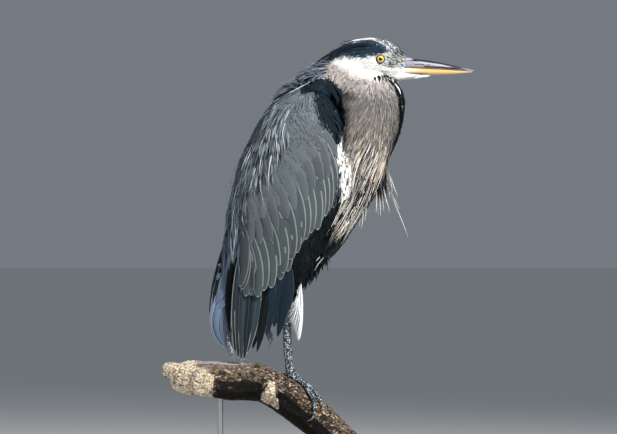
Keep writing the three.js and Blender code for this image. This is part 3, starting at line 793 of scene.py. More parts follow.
def neck_tints(p):
    """The neck's markings, with more light and dark strands the further down."""
    x, _, z = p.T / MM
    out = markings(p)
    pick = np.random.default_rng(25).random(len(p))
    back = ramp(62 - x + 0.55 * (z - 711), 0, 20) * ramp(z, 672, 684)
    out = blend(out, (0.36, 0.41, 0.50), back * (pick > 0.72))
    out = blend(out, (0.022, 0.032, 0.045), back * (pick < 0.24))
    low = ramp(690 - z, 0, 90) * (out.mean(1) > 0.08)
    out = blend(out, out * 0.28, low * (pick < 0.24))
    return blend(out, np.minimum(out * 2.1, 0.85), low * (pick > 0.80))


def on_streaks(p):
    """The lower front of the neck."""
    x, _, z = p.T / MM
    front = band(p / MM, [(152, 652, 26), (142, 622, 32), (128, 592, 28), (116, 566, 18)], 10)
    return front * ramp(x * 0.86 + z * 0.5, 392, 402) + EVERYWHERE


def streak_tints(p):
    """Cream and dark strands that part from the grey of the neck the further down they are."""
    kind = picked(len(p), 27, ((0.66, 0.60, 0.53), 0.42), ((0.028, 0.028, 0.026), 0.72),
                  ((0.30, 0.25, 0.20), 1))
    share = 0.25 + 0.75 * ramp(660 - p[:, 2] / MM, 0, 70)
    return markings(p) * (1 - share)[:, None] + kind * share[:, None]


def on_line(path):
    """A narrow stripe down each side of the throat."""
    return lambda p: band(p / MM, path, 1.2) * ramp(np.abs(p[:, 1]) / MM, 3, 5)


def all_of(colour):
    return lambda p: np.tile(colour, (len(p), 1))


tract("neck_feathers", 15000, on_neck, neck_length, 1.25, hair_look, 21, steps=3,
      lift=0.9, sway=0.06, shape=(0.5, 0.35, 0.08), shade=0.26, tint=neck_tints)


def on_nape(p):
    """The back of the neck, above the wing's wrist."""
    x, _, z = p.T / MM
    behind = ramp(66 - x + 0.55 * (z - 711), 0, 12) * ramp(x, -30, -10)
    return behind * ramp(z, 662, 674) * ramp(z - np.interp(x, *RIM_LINE), 3, 6) + EVERYWHERE


def nape_tints(p):
    return picked(len(p), 29, ((0.27, 0.31, 0.38), 0.26), ((0.050, 0.066, 0.088), 0.5),
                  ((0.13, 0.160, 0.205), 1))


tract("nape_feathers", 1300, on_nape, 22, 1.7, hair_look, 97, steps=5, lift=2.7, sway=0.04,
      shape=(0.5, 0.35, 0.08), shade=0.15, tint=nape_tints)
tract("neck_streaks", 1500, on_streaks, 32, 1.0, hair_look, 91, steps=6, lift=1.12, sway=0.04,
      shape=(0.3, 0.35, 0.05), shade=0.15, tint=streak_tints)
tract("throat_line", 900, on_line(THROAT_LINE), 11, 1.5, hair_look, 93, steps=4, lift=1.6, sway=0.03,
      shape=(0.5, 0.35, 0.1), shade=0.2, tint=all_of(BLACK))
tract("throat_pale", 150, on_line(THROAT_WHITE), 11, 1.2, hair_look, 95, steps=4, lift=1.45, sway=0.03,
      shape=(0.5, 0.35, 0.1), shade=0.05, tint=all_of(WHITE))


# ============================================================ body feathers
# Soft body feathers of the back, flanks and belly, grey above and black below, ragged at the
# belly's lower edge.

body_look = feather_look("body_feather", 26, 0.4, 0.12, 0.15, 0.66, 0.3)


def low_wing(p):
    """1 over the lower wing, which the large coverts alone clothe."""
    x, y, z = p.T / MM
    line = np.interp(x, [-60, -26, 8, 38, 66, 80], [492, 508, 540, 568, 592, 600])
    return ramp(line - z, -4, 10) * ramp(np.abs(y), 34, 42) * ramp(x, -100, -90) * ramp(z, 322, 332)


def on_body(p):
    x, y, z = p.T / MM
    neck = ramp(x * 0.86 + z * 0.5, 392, 404) * ramp(z, 530, 550)
    nape = ramp(x * 0.86 + z * 0.5, 360, 368) * ramp(z, 680, 686) * ramp(z - np.interp(x, *RIM_LINE), -10, -7)
    wing = np.maximum(ramp(np.abs(y), 46, 56) * ramp(x, -96, -84), ramp(-z, -356, -348) * ramp(x, -8, 0))
    rump = np.maximum(ramp(-x, 70, 80) * ramp(-z, -455, -440), ramp(-x, 20, 34) * ramp(-z, -372, -352))
    head = ramp(x * 0.5 + z, 770, 780)
    bare = np.clip(1 - neck - nape, 0, 1) * (1 - wing) * (1 - rump) * (1 - low_wing(p)) * (1 - head)
    return bare * (1 - on_wrist(p)) + EVERYWHERE


def body_length(p):
    return 24 - 9 * band(p / MM, BREAST_WHITE, 6)


def body_tints(p):
    """The body's markings, with dark flecks beside the breast's white patch and buff in front of it."""
    pick = np.random.default_rng(35).random(len(p))
    side = ramp(np.abs(p[:, 1]) / MM, 12, 20)
    out = blend(markings(p), (0.50, 0.37, 0.25), band(p / MM, BREAST_BUFF, 3) * side * (pick < 0.55))
    flecked = band(p / MM, [(86, 578, 4), (88, 566, 4.5), (89, 552, 3)], 2)
    return blend(out, (0.03, 0.04, 0.05), flecked * side * (pick > 0.6))


tract("body_feathers", 12000, on_body, body_length, 4.8, body_look, 31, steps=4,
      lift=1.1, sway=0.08, shape=(0.4, 0.4, 0.12), shade=0.16, tint=body_tints)


# ============================================================ small wing coverts
# The small soft feathers over the wrist and forearm, pale grey, with the black wrist patch.

covert_look = feather_look("small_covert", 20, 0.3, 0.14, 0.12, 0.62, 0.25)


def on_wing(p):
    x, y, z = p.T / MM
    near = np.maximum(ramp(np.abs(y), 34, 44), on_wrist(p)) * (1 - ramp(x, 92, 97))
    under_rim = 1 - ramp(z - np.interp(x, *RIM_LINE), -8, -5)
    return near * under_rim * ramp(x, -98, -88) * ramp(z, 344, 356) * (1 - low_wing(p)) + EVERYWHERE


def covert_length(p):
    return 12 + 10 * ramp(660 - p[:, 2] / MM, 0, 120)


def covert_width(p):
    return (4.2 + 3 * ramp(660 - p[:, 2] / MM, 0, 120)) * (1 - 0.4 * on_wrist(p))


tract("small_coverts", 11000, on_wing, covert_length, covert_width, covert_look, 41,
      steps=4, lift=0.5, sway=0.07, shape=(0.5, 0.5, 0.2, 0.6), shade=0.10, cup=0.05, gloss=1.1)


# ============================================================ large wing coverts
# The shut wing's larger coverts in three shingled rows, grey with a fine pale edge, laid one by
# one so that each row's tips cover the roots of the row below. Small black ones edge the wrist,
# under a thin pale line of strands that parts the wing from the neck.

RIGHT, LEFT = -1.0, 1.0


def bent(controls, v):
    """Points along a smooth curve through three or four control points, in metres."""
    controls = np.asarray(controls, float)
    knots = np.concatenate([[0], np.cumsum(np.linalg.norm(np.diff(controls, axis=0), axis=1))])
    knots /= knots[-1]
    fit = np.stack([np.polyfit(knots, controls[:, k], len(controls) - 1) for k in range(3)], 1)
    return np.stack([np.polyval(fit[:, k], v) for k in range(3)], 1) * MM


def crowded(steps):
    """Places along a feather, closer together near its tip."""
    return 1 - (1 - np.linspace(0, 1, steps)) ** 1.5


def over_side(rows, side, steps):
    """Spines laid over one side of the skin. rows hold root X, Z, tip X, Z and bow to the front, in mm."""
    v = crowded(steps)
    spines, outwards = [], []
    for root_x, root_z, tip_x, tip_z, bow in rows:
        chord = np.array([tip_x - root_x, tip_z - root_z])
        across = np.array([-chord[1], chord[0]]) / np.linalg.norm(chord)
        flat = np.outer(1 - v, (root_x, root_z)) + np.outer(v, (tip_x, tip_z))
        flat += np.outer(4 * v * (1 - v) * bow, across)
        places, ways, slope, free = [], [], 0.0, False
        for x, z in flat:
            hit, way, _, _ = SKIN_TREE.ray_cast(Vector((x * MM, side * 0.3, z * MM)), Vector((0, -side, 0)))
            if hit is None and not places:
                hit, way, _, _ = SKIN_TREE.find_nearest(Vector((x * MM, side * 0.03, z * MM)))
            if places:
                run = math.hypot(x - last[0], z - last[1]) * MM
                free = free or hit is None or abs(hit.y) < abs(places[-1]) - 0.75 * run
            if free:
                hung = side * (places[-1] + slope * run)
                places.append(side * (hung if hit is None else max(hung, side * hit.y)))
                ways.append(ways[-1])
            else:
                if places:
                    slope = 0.5 * slope + 0.5 * (hit.y - places[-1]) / run
                places.append(hit.y)
                ways.append(way)
            last = (x, z)
        smooth = np.polyval(np.polyfit(v, places, 3), v)
        deep = side * np.maximum(side * smooth, side * np.array(places))
        spine = np.stack([flat[:, 0] * MM, deep, flat[:, 1] * MM], 1)
        spines.append(spine)
        outwards.append(spread_ways(np.array(ways)))
    return np.stack(spines), np.stack(outwards), v


def spread_ways(ways):
    """Evens out the outward directions along one feather."""
    return unit(0.5 * ways + 0.5 * ways.mean(0))


def outline_at(v, shape):
    """Half widths at places v along a feather, as shares of its widest."""
    return np.interp(v, np.linspace(0, 1, 41), profile(41, *shape))


def laid(name, rows, half, low, high, look, colour, rim, tilt=0.0, steps=12, shape=(0.55, 0.5, 0.1, 0.5),
         columns=7, seed=5, shade=0.05):
    """Shingled feathers on both sides of the bird, low mm off the skin at the root and high mm at the tip."""
    count = len(rows)
    for side, word in ((RIGHT, "_right"), (LEFT, "_left")):
        spine, outward, v = over_side(rows, side, steps)
        spine = spine + outward * ((low + (high - low) * v) * MM)[None, :, None]
        widths = np.tile(half * outline_at(v, shape) * MM, (count, 1))
        feathers = vane_mesh(name + word, spine, outward, widths, None, shades(colour, count, shade, seed),
                             np.tile(rim, (count, 1)), columns, cup=0.10, tilt=tilt * -side, ridge=0.03,
                             reach=v)
        dress(feathers, look)


# Where each covert's tip lies, as X and Z in mm, from the front of the wing to its back.
GREATER_TIPS = [(72, 488), (57, 474.5), (44.5, 452), (24.7, 436), (9.7, 413.4), (-5.3, 382.5), (-17.7, 368.6),
                (-32.6, 353.6), (-55, 337.3), (-74, 340), (-83, 354.8)]
MEDIAN_TIPS = [(63, 543), (50, 528), (38, 516), (24, 500), (8, 484), (-6, 468), (-24, 449), (-36, 433),
               (-52, 424), (-68, 428), (-82, 440)]
UPPER_TIPS = [(76, 578), (66, 566), (52, 553), (38, 541), (24, 527), (8, 512), (-8, 496), (-26, 482),
              (-44, 470), (-60, 466)]
ragged = np.random.default_rng(45).uniform(-3.5, 3.5, (len(MEDIAN_TIPS), 2))
MEDIAN_TIPS = np.array(MEDIAN_TIPS) + ragged
between = [(0.5 * (x0 + x1) - 1, 0.5 * (z0 + z1) + 3)
           for (x0, z0), (x1, z1) in zip(GREATER_TIPS, GREATER_TIPS[1:])]
covert_big = feather_look("large_covert", 70, 0.16, 0.13, 0.10, 0.60, 0.2)
soft_covert = feather_look("soft_covert", 46, 0.30, 0.10, 0.08, 0.62, 0.3)
laid("greater_coverts", [(max(x - 20, -84), z + 116, x, z, 7) for x, z in GREATER_TIPS + between], 12.5,
     1.2, 4.4, covert_big, (0.064, 0.081, 0.088), (0.21, 0.235, 0.24), 0.20, 16)
laid("median_coverts", [(max(x - 34, -80), z + 76, x, z, 6) for x, z in MEDIAN_TIPS], 10.5, 2.0, 4.2,
     covert_big, (0.086, 0.103, 0.113), (0.125, 0.145, 0.156), 0.14, 13, shade=0.14)
laid("upper_coverts", [(max(x - 40, -76), z + 50, x, z, 4) for x, z in UPPER_TIPS], 11, 2.2, 3.6,
     soft_covert, (0.104, 0.122, 0.136), (0.114, 0.133, 0.147), 0.10, 11, shade=0.14)

WRIST_EDGE = np.array([(82, 690), (88, 680), (91, 664), (94, 645), (94, 630), (89.5, 619), (84, 612),
                       (81, 602), (77.5, 593)])
BLACK_SHEEN = (0.010, 0.020, 0.030)
rng = np.random.default_rng(47)
places = np.repeat(np.linspace(0, len(WRIST_EDGE) - 1, 30), 2) + rng.normal(0, 0.1, 60)
edge_x, edge_z = (np.interp(places, range(len(WRIST_EDGE)), column) for column in WRIST_EDGE.T)
back = np.tile((0.0, 9.0), 30) + rng.uniform(0, 3, 60)
laid("wrist_feathers", [(x - 13 - b, z + 25, x - b, z, 3) for x, z, b in zip(edge_x, edge_z, back)], 2.6,
     1.0, 1.6, covert_look, BLUE_BLACK, BLACK_SHEEN, steps=8, shape=(0.5, 0.4, 0.08), columns=3, shade=0.2)
# The fan of black feathers at the top of the wrist, under the thin pale line that edges the neck.
fan_x = np.linspace(18, 88, 74) + rng.normal(0, 0.8, 74)
fan_z = np.interp(fan_x, *RIM_LINE) - 3.2 - rng.uniform(0, 1.5, 74)
fan_way = np.radians(np.interp(fan_x, [20, 50, 75, 90], [-88, -104, -84, -74]) + rng.normal(0, 5, 74))
fan_long = np.interp(fan_x, [20, 30, 38, 60, 90], [10, 9, 14, 25, 24]) * rng.uniform(0.8, 1.15, 74)
tip_x, tip_z = fan_x + fan_long * np.cos(fan_way), fan_z + fan_long * np.sin(fan_way)
laid("wrist_fan", [(*row, 1) for row in zip(fan_x, fan_z, tip_x, tip_z)], 1.9, 1.6, 2.4,
     covert_look, BLUE_BLACK, BLACK_SHEEN, steps=7, shape=(0.6, 0.4, 0.08), columns=3, seed=48, shade=0.2)
RIM_ARC = np.array([(67, 704.5), (57, 706.8), (47, 706), (38.6, 702), (30, 696.5), (24, 693), (9, 685),
                    (-0.3, 680.7), (-17, 671.4), (-34, 658.8)])
STRAND = 14
arc_run = np.concatenate([[0], np.cumsum(np.hypot(*np.diff(RIM_ARC, axis=0).T))])
starts = np.sort(rng.uniform(0, arc_run[-1] - STRAND, 44))
arc_at = [np.interp(starts + along, arc_run, column) for along in (0, STRAND) for column in RIM_ARC.T]
laid("rim_strands", [(a, b + off, c, d + off, -0.5) for a, b, c, d,
                     off in zip(*arc_at, rng.normal(0, 0.35, 44))],
     0.42, 2.8, 3.6, covert_look, (0.50, 0.54, 0.60), (0.60, 0.63, 0.68), steps=8, shape=(0.5, 0.4, 0.1),
     columns=3, seed=49, shade=0.2)


# ============================================================ flight feathers
# Shut primaries and secondaries hanging below the coverts: long stiff vanes, slate with a pale
# edge line near the tail and blue-black in front.

def one_each(value, count):
    """A row for each of count feathers, from rows or from one row for all."""
    value = np.asarray(value, float)
    return np.tile(value, (count, 1)) if value.ndim == 1 else value


def hanging(name, paths, half, look, colours, rims, outward, shape, tilt=0.0, steps=18, columns=7,
            replaces=()):
    """Free feathers through control points in mm. outward is the way each one's face looks."""
    count = len(paths)
    v = crowded(steps)
    spine = np.stack([bent(path, v) for path in paths])
    faces = np.repeat(unit(one_each(outward, count))[:, None, :], steps, 1)
    widths = np.broadcast_to(half, count)[:, None] * outline_at(v, shape) * MM
    feathers = vane_mesh(name, spine, faces, widths, None, one_each(colours, count), one_each(rims, count),
                         columns, cup=0.12, tilt=tilt, ridge=0.03, reach=v)
    dress(feathers, look, replaces=replaces)


SLATE = (0.028, 0.043, 0.054)
DEEP_SLATE = (0.0085, 0.016, 0.024)
# Root, middle and tip as X, Z in mm, half width and colour, from the rearmost to the front.
FLIGHT = [
    ((-84, 440), (-99, 385), (-102, 276), 6.5, BLACK),
    ((-84, 405), (-92, 322), (-93, 243), 7, SLATE), ((-80, 403), (-86, 316), (-88, 233), 8, SLATE),
    ((-74, 402), (-79, 314), (-83, 229), 8.5, SLATE), ((-67, 400), (-70, 312), (-78, 230), 9, SLATE),
    ((-58, 400), (-59, 312), (-73, 241), 9.5, SLATE), ((-47, 400), (-50, 320), (-63, 249), 9, BLACK),
    ((-41, 400), (-42, 325), (-56, 244), 9, BLACK), ((-32, 400), (-31, 330), (-37, 275), 9, DEEP_SLATE),
    ((-36, 400), (-34, 330), (-42, 286), 10, DEEP_SLATE),
    ((-24, 400), (-23, 338), (-27, 286), 11, DEEP_SLATE),
    ((-12, 398), (-10, 338), (-21, 270), 11, DEEP_SLATE),
    ((-4, 396), (-2, 345), (-13, 294), 9, DEEP_SLATE),
]
flight_look = feather_look("flight_feather", 110, 0.14, 0.10, 0.22, 0.5, 0.2)
for side, word in ((RIGHT, "right"), (LEFT, "left")):
    paths = [[(a[0], side * (43 - 0.10 * (a[0] + 84)), a[1]), (b[0], side * (34 + 0.04 * (b[0] + 84)), b[1]),
              (c[0], side * (17 + 0.20 * (c[0] + 90)), c[1])] for a, b, c, _, _ in FLIGHT]
    hanging("flight_feathers_" + word, paths, [row[3] for row in FLIGHT], flight_look,
            jitter(np.array([row[4] for row in FLIGHT]), 0.24, 8),
            [(0.26, 0.29, 0.29) if row[4] is SLATE else (0.025, 0.04, 0.055) for row in FLIGHT],
            (0.15, side, -0.1), (0.6, 0.45, 0.08, 0.8), -side * 0.20, replaces=("quills_" + word,))


# ============================================================ tail
# Blue-grey tail feathers fanned down behind the wing tips, the far outermost one edged white,
# with smaller coverts laid over their roots.

tail_look = feather_look("tail_feather", 90, 0.22, 0.10, 0.25, 0.55, 0.2)
paths, rims = [], []
for share in (0.0, 0.2, 0.4, 0.6, 0.8, 1.0):
    for side in (LEFT, RIGHT):
        paths.append([(-78 - 18 * share, side * (4 + 6 * share), 374 + 10 * share),
                      (-102 - 16 * share, side * (6 + 9 * share), 336),
                      (-110 - 18 * share, side * (7 + 11 * share), 288 + 6 * share),
                      (-103 - 5 * share, side * (4 + 5 * share), 243 + 8 * share)])
        rims.append((0.60, 0.64, 0.70) if share == 1.0 and side == LEFT else (0.19, 0.24, 0.32))
# A narrow pale feather lies behind the outermost one on each side.
for outermost, side in ((paths[10], LEFT), (paths[11], RIGHT)):
    paths.append([(x - 6.5 * back, y + side * 0.5, z) for (x, y, z), back in zip(outermost, (0, 1, 1, 0.4))])
    rims.append((0.66, 0.70, 0.76))
hanging("tail_feathers", paths, [8.5] * 12 + [2.4] * 2, tail_look, shades(TAIL_GREY, 14, 0.10, 9), rims,
        [(-0.5, side * 0.9, 0.0) for _ in range(7) for side in (LEFT, RIGHT)], (0.5, 0.5, 0.10, 0.7),
        replaces=("tail",))


def both_sides(paths):
    """Each path on the right, then on the left."""
    return [[(x, side * y, z) for x, y, z in path] for path in paths for side in (RIGHT, LEFT)]


# The coverts over the tail's root: root X, Z and tip X, Z in mm at each side, and one pair between.
TAIL_TOP = [(-98, 404, -121, 344), (-96, 386, -126, 326), (-90, 452, -106, 396), (-96, 430, -114, 366),
            (-92, 402, -117, 342), (-90, 372, -123, 312), (-88, 424, -112, 354)]
tail_tops = [[(x0, 21, z0), (0.55 * x0 + 0.45 * x1, 22.5, 0.5 * (z0 + z1)), (x1, 18, z1)]
             for x0, z0, x1, z1 in TAIL_TOP]
tail_tops = both_sides(tail_tops + [[(-108, 7, 430), (-121.5, 7.5, 386), (-127, 6, 336)]])
outward = [(-0.4, RIGHT, 0), (-0.4, LEFT, 0)] * len(TAIL_TOP) + [(-3, RIGHT, 0), (-3, LEFT, 0)]
hanging("tail_coverts", tail_tops, 6.5, tail_look, shades(TAIL_GREY, len(tail_tops), 0.12, 10),
        (0.24, 0.29, 0.36), outward, (0.4, 0.5, 0.08, 0.8))


# ============================================================ scapulars
# Long narrow feathers that fall from the back over the wing, blue-grey, with loose pale
# lanceolate plumes among them.

def on_back(p):
    """The back and rump, down to the line where the scapulars end over the wing."""
    x, _, z = p.T / MM
    edge = np.interp(z, [330, 400, 460, 495, 520, 545, 570, 620, 690],
                     [-106, -99, -92, -85, -77, -64, -40, -8, 12])
    rump = ramp(-x, 78, 90) * ramp(-z, -452, -436)
    return ramp(edge - x, -6, 6) * (1 - ramp(z, 672, 690)) * ramp(z, 330, 350) * (1 - rump) + EVERYWHERE


def on_plumed_back(p):
    """Where pale plumes lie among the scapulars: the shoulders, and a strip low down the back."""
    x, _, z = p.T
    return on_back(p) * np.maximum(ramp(z, 0.53, 0.58), ramp(-x, 0.055, 0.075) * ramp(z, 0.43, 0.50))


def back_tints(p):
    """The back's markings, each feather a little lighter or darker than the next."""
    pick = np.random.default_rng(57).random((len(p), 1))
    return markings(p) * np.where(pick < 0.25, 0.45, np.where(pick < 0.66, 1.0, 1.7))


scapular_look = feather_look("scapular", 60, 0.35, 0.16, 0.25, 0.6, 0.3)
tract("scapulars", 1500, on_back, lambda p: 40 + 22 * ramp(0.62 - p[:, 2], 0, 0.12), 6.5, scapular_look, 51,
      steps=7, columns=5, lift=1.35, sway=0.10, shape=(0.5, 0.35, 0.05), shade=0.30, tint=back_tints)
tract("scapular_plumes", 270, on_plumed_back, lambda p: 44 + 30 * ramp(0.66 - p[:, 2], 0, 0.12), 1.8,
      scapular_look, 55, steps=9, lift=1.75, sway=0.09, shape=(0.25, 0.4, 0.03), shade=0.30,
      tint=all_of((0.42, 0.45, 0.48)))
# Dark pale-edged plumes down the back's edge, whose black is partly their own colour and partly painted shade
# in the gap before the tail, and one light one higher up, as X, Y, Z in mm.
EDGE_PLUMES = [
    [(-92, 16, 480), (-116, 14, 410), (-132, 11, 350), (-137, 9, 306)],
    [(-90, 17, 478), (-112, 15, 412), (-127, 12, 356), (-131, 10, 318)],
    [(-88, 18, 470), (-108, 17, 420), (-121, 15, 370), (-127, 13, 335)],
    [(-92, 8, 560), (-101, 9, 532), (-110, 10, 495)],
]
hanging("edge_plumes", both_sides(EDGE_PLUMES), [3.4] * 6 + [1.4] * 2, scapular_look,
        [(0.012, 0.018, 0.024)] * 6 + [(0.4, 0.43, 0.46)] * 2,
        [(0.22, 0.25, 0.28)] * 2 + [(0.03, 0.04, 0.05)] * 4 + [(0.5, 0.53, 0.56)] * 2,
        [(-0.5, RIGHT, 0), (-0.5, LEFT, 0)] * len(EDGE_PLUMES), (0.4, 0.5, 0.05, 0.8), steps=14, columns=5)


# ============================================================ breast plumes
# Loose long plumes of the lower neck hanging over the belly, white and buff with black slits,
# a few swinging free of the breast.

def on_breast(p):
    """The foot of the neck, where the long plumes are rooted."""
    x, _, z = p.T / MM
    low = band(p / MM, [(150, 596, 20), (132, 560, 22), (116, 520, 20)], 6)
    return low * ramp(x - 0.42 * (z - 560), 96, 104) + EVERYWHERE


def plume_tints(p):
    return picked(len(p), 77, ((0.80, 0.77, 0.72), 0.30), ((0.50, 0.42, 0.33), 0.42),
                  ((0.24, 0.22, 0.205), 0.64), ((0.012, 0.018, 0.024), 1))


plume_look = feather_look("breast_plume", 30, 0.25, 0.2, 0.3, 0.66, 0.2)
tract("breast_plumes_laid", 1250, on_breast, lambda p: 50 + 30 * ramp(0.60 - p[:, 2], 0, 0.05), 1.45,
      plume_look, 61, steps=9, lift=1.5, sway=0.05, shape=(0.35, 0.35, 0.03), shade=0.15, tint=plume_tints,
      replaces=("breast_plumes",))
# Plumes that swing free of the breast, as X, Y, Z in mm from root to tip.
LOOSE = [
    [(152, -6, 566), (163, -8, 532), (177, -9, 498), (200, -10, 439)],
    [(154, 5, 566), (168, 8, 526), (186, 10, 486)], [(153, 2, 570), (166, 6, 534), (181, 8, 502)],
    [(150, -10, 562), (158, -12, 525), (170, -13, 480)],
    [(142, -12, 545), (147, -14, 512), (146, -15, 480)], [(138, 10, 545), (144, 14, 512), (151, 16, 476)],
    [(130, -14, 530), (136, -16, 500), (135, -17, 482)],
    [(120, -15, 522), (124, -18, 495), (121, -19, 452)], [(112, 12, 505), (119, 17, 478), (118, 18, 456)],
    [(126, -10, 536), (130, -14, 500), (127, -16, 466)], [(157, -4, 574), (165, -6, 545), (172, -7, 500)],
    [(160, -3, 578), (171, -5, 540), (183, -6, 508)], [(161, 2, 578), (168, 3, 548), (175, 4, 515)],
    [(155, -8, 572), (160, -10, 536), (164, -11, 492)], [(152, -9, 566), (155, -12, 530), (158, -13, 486)],
    [(158, 5, 576), (166, 8, 540), (170, 9, 505)], [(146, -11, 555), (151, -14, 520), (154, -15, 474)],
    [(150, 8, 560), (155, 12, 525), (160, 14, 482)],
]
# They start black and turn pale toward the tip, all but every fourth one.
fade = np.where(np.arange(len(LOOSE))[:, None] % 4 == 2, 0, ramp(crowded(16), 0.35, 0.85))[..., None]
hanging("loose_plumes", LOOSE, 0.75, plume_look, 0.02 + fade * np.array((0.72, 0.70, 0.66)),
        (0.5, 0.48, 0.45), (0.3, -1, 0), (0.6, 0.4, 0.15, 1.0), steps=16, columns=3)


# ============================================================ free-standing tufts
# Feathers too free to follow the skin: the chin tuft under the bill, the dashes and the striped
# line of the throat, the ragged belly edge, and a few pale streaks over the black belly.

def strands(path, count, long, spread_y, loose, seed):
    """Short strands along a path of X, Z, at places drawn by chance and spread_y off the middle."""
    rng = np.random.default_rng(seed)
    path = np.asarray(path, float)
    run = np.concatenate([[0], np.cumsum(np.hypot(*np.diff(path, axis=0).T))])
    made = []
    for _ in range(count):
        start = rng.uniform(-0.3 * long, run[-1] - 0.8 * long)
        at = start + np.linspace(0, long, 4)
        y = rng.uniform(*spread_y) * rng.choice((-1, 1))
        x = np.interp(at, run, path[:, 0]) + rng.normal(0, loose)
        z = np.interp(at, run, path[:, 1]) + rng.normal(0, loose)
        made.append([(x[k], y * (1 + 0.04 * k), z[k]) for k in range(4)])
    return made


def tuft(name, paths, half, look, colour, seed, shade=0.15):
    """Many narrow strands of about one colour."""
    count = len(paths)
    colours = shades(colour, count, shade, seed)
    hanging(name, paths, np.random.default_rng(seed).uniform(0.8, 1.2, count) * half, look, colours,
            np.clip(colours * 1.2, 0, 0.9), [(0.3, 1 if path[0][1] > 0 else -1, 0) for path in paths],
            (0.5, 0.35, 0.05), steps=8, columns=3)


# Dark dashes with pale edges where the cheek meets the throat, as root X, Z and tip X, Z in mm.
DASHES = [(143, 709, 145.5, 703.5), (148, 710.5, 152, 702.5), (149.5, 711, 153, 704),
          (153.5, 711.5, 158, 703), (157, 712, 163.5, 702), (159, 712.5, 167, 702.5), (162, 712.5, 171, 701)]
for word, moved, half, colour in (("dark", (0, 0, 0, 0), 1.6, BLACK), ("pale", (2, -1.5, 2, -1), 0.5, WHITE)):
    laid("throat_dashes_" + word, [(*(np.array(dash) + moved), 0.4) for dash in DASHES], half, 3.2, 3.8,
         covert_look, colour, colour, steps=7, shape=(0.6, 0.4, 0.2), columns=3, seed=50)
rng = np.random.default_rng(81)
chin, chin_edge = [], ([172, 182, 192, 202, 213, 226, 238, 244],
                       [710, 705, 705.5, 708.5, 706.5, 709, 711.5, 714.5])
for _ in range(260):
    x = rng.uniform(168, 226)
    y = rng.uniform(-1, 1) * (6.5 - 4.5 * (x - 168) / 58)
    end = x + rng.uniform(9, 16)
    low = np.interp(end, *chin_edge) + rng.uniform(0, 4) + 0.25 * abs(y)
    chin.append([(x, y * 0.7, 716.5), (0.6 * x + 0.4 * end, y, 0.5 * (714 + low)), (end, y * 0.8, low)])
tuft("chin_feathers", chin, 0.9, down_look, WHITE, 82, shade=0.06)
THROAT_EDGE = [(176, 705), (184, 696), (190, 686), (194, 670), (193.5, 655), (190.5, 637), (186, 617),
               (180, 600), (173, 585), (165, 571)]
tuft("throat_black", strands(THROAT_EDGE, 190, 17, (0, 4.5), 0.7, 83), 1.0, hair_look, BLACK, 84)
dark = rng.uniform((148, -13, 560, 492), (164, 6, 574, 528), (46, 4))
tuft("dark_plumes", [[(x, y, z), (x - 0.5, y * 1.2, 0.5 * (z + end)),
                      (x - 6 + 0.12 * (z - end), y * 1.3, end)]
                     for x, y, z, end in dark], 1.3, hair_look, BLACK, 87)
pale_edge = [(174, 704), (182, 694), (187.5, 682), (190, 668), (189.5, 654), (188, 644)]
tuft("throat_white", strands(pale_edge, 46, 13, (6, 9), 0.6, 85), 0.8, hair_look, WHITE, 86)
fringe = []
for _ in range(150):
    share = rng.random()
    x, z = np.interp(share, [0, 0.5, 1], [66, 50, 26]), np.interp(share, [0, 0.5, 1], [402, 378, 356])
    y, long = rng.uniform(-26, 26), rng.uniform(11, 18)
    x, z = x - 6 + rng.normal(0, 2), z + 12 + 0.010 * y * y
    fringe.append([(x, y, z), (x - 1, y, z - 0.6 * long), (x - rng.uniform(0, 5), y, z - 1.5 * long)])
tuft("belly_fringe", fringe, 1.3, body_look, BLACK, 87)
STREAKS = [[(57, 404), (49, 394), (41, 381)], [(51, 405), (47, 401), (44, 397)],
           [(95, 462), (88, 449), (84, 438)]]
tuft("belly_streaks", both_sides([[(x, 30 - 0.2 * abs(x - 60), z) for x, z in path] for path in STREAKS]),
     0.9, plume_look, (0.45, 0.46, 0.45), 88)


# ============================================================ crest
# Two long black crest feathers and their shorter neighbours, lying back from the crown.

crest_look = feather_look("crest_plume", 40, 0.3, 0.1, 0.1, 0.5, 0.2)
CREST_BLACK = (0.011, 0.015, 0.021)
CREST_PATH = [(150, 17, 763), (128, 19.5, 765), (100, 18, 761), (75, 13, 752), (54, 8, 741), (38, 5, 728)]
for side, word in ((RIGHT, "right"), (LEFT, "left")):
    rng = np.random.default_rng(3 if side < 0 else 4)
    paths = []
    for i in range(34):
        start = rng.uniform(0, 2.6)
        end = start + rng.uniform(1.6, 2.6) if i > 5 else 5.0
        knots = np.linspace(start, min(end, 5.0), 4)
        line = np.stack([np.interp(knots, range(6), column) for column in np.transpose(CREST_PATH)], 1)
        drop = (rng.uniform(-0.5, 3) if i % 2 else rng.uniform(-8, -5.5)) * np.array([1.0, 1.0, 0.85, 0.6])
        line[:, 2] += drop
        line[:, 1] = side * (line[:, 1] + 1.6 + 0.03 * np.abs(drop) * np.sign(drop))
        paths.append(line)
    hanging("crest_plumes_" + word, paths, rng.uniform(1.0, 1.6, 34), crest_look,
            shades(CREST_BLACK, 34, 0.2, 12), (0.02, 0.026, 0.034), (0, side, 0.35), (0.4, 0.4, 0.04, 1.0),
            steps=12, columns=3, replaces=("crest_" + word,))
HAIRS = [[(108, 10, 764), (99, 11, 769.5), (88, 12, 772)], [(103, 12, 763), (95, 13, 766), (87, 14, 766.5)],
         [(112, 8, 768), (105, 9, 771.5), (97, 10, 772.5)], [(98, 9, 761), (91, 9, 765), (84, 9, 768)]]
tuft("crown_hairs", both_sides(HAIRS), 0.45, crest_look, CREST_BLACK, 89)


# ============================================================ eyes
# Glossy globes with a yellow iris and black pupil, set in a ring of dark bare skin.

EYE_RADIUS = 7.6


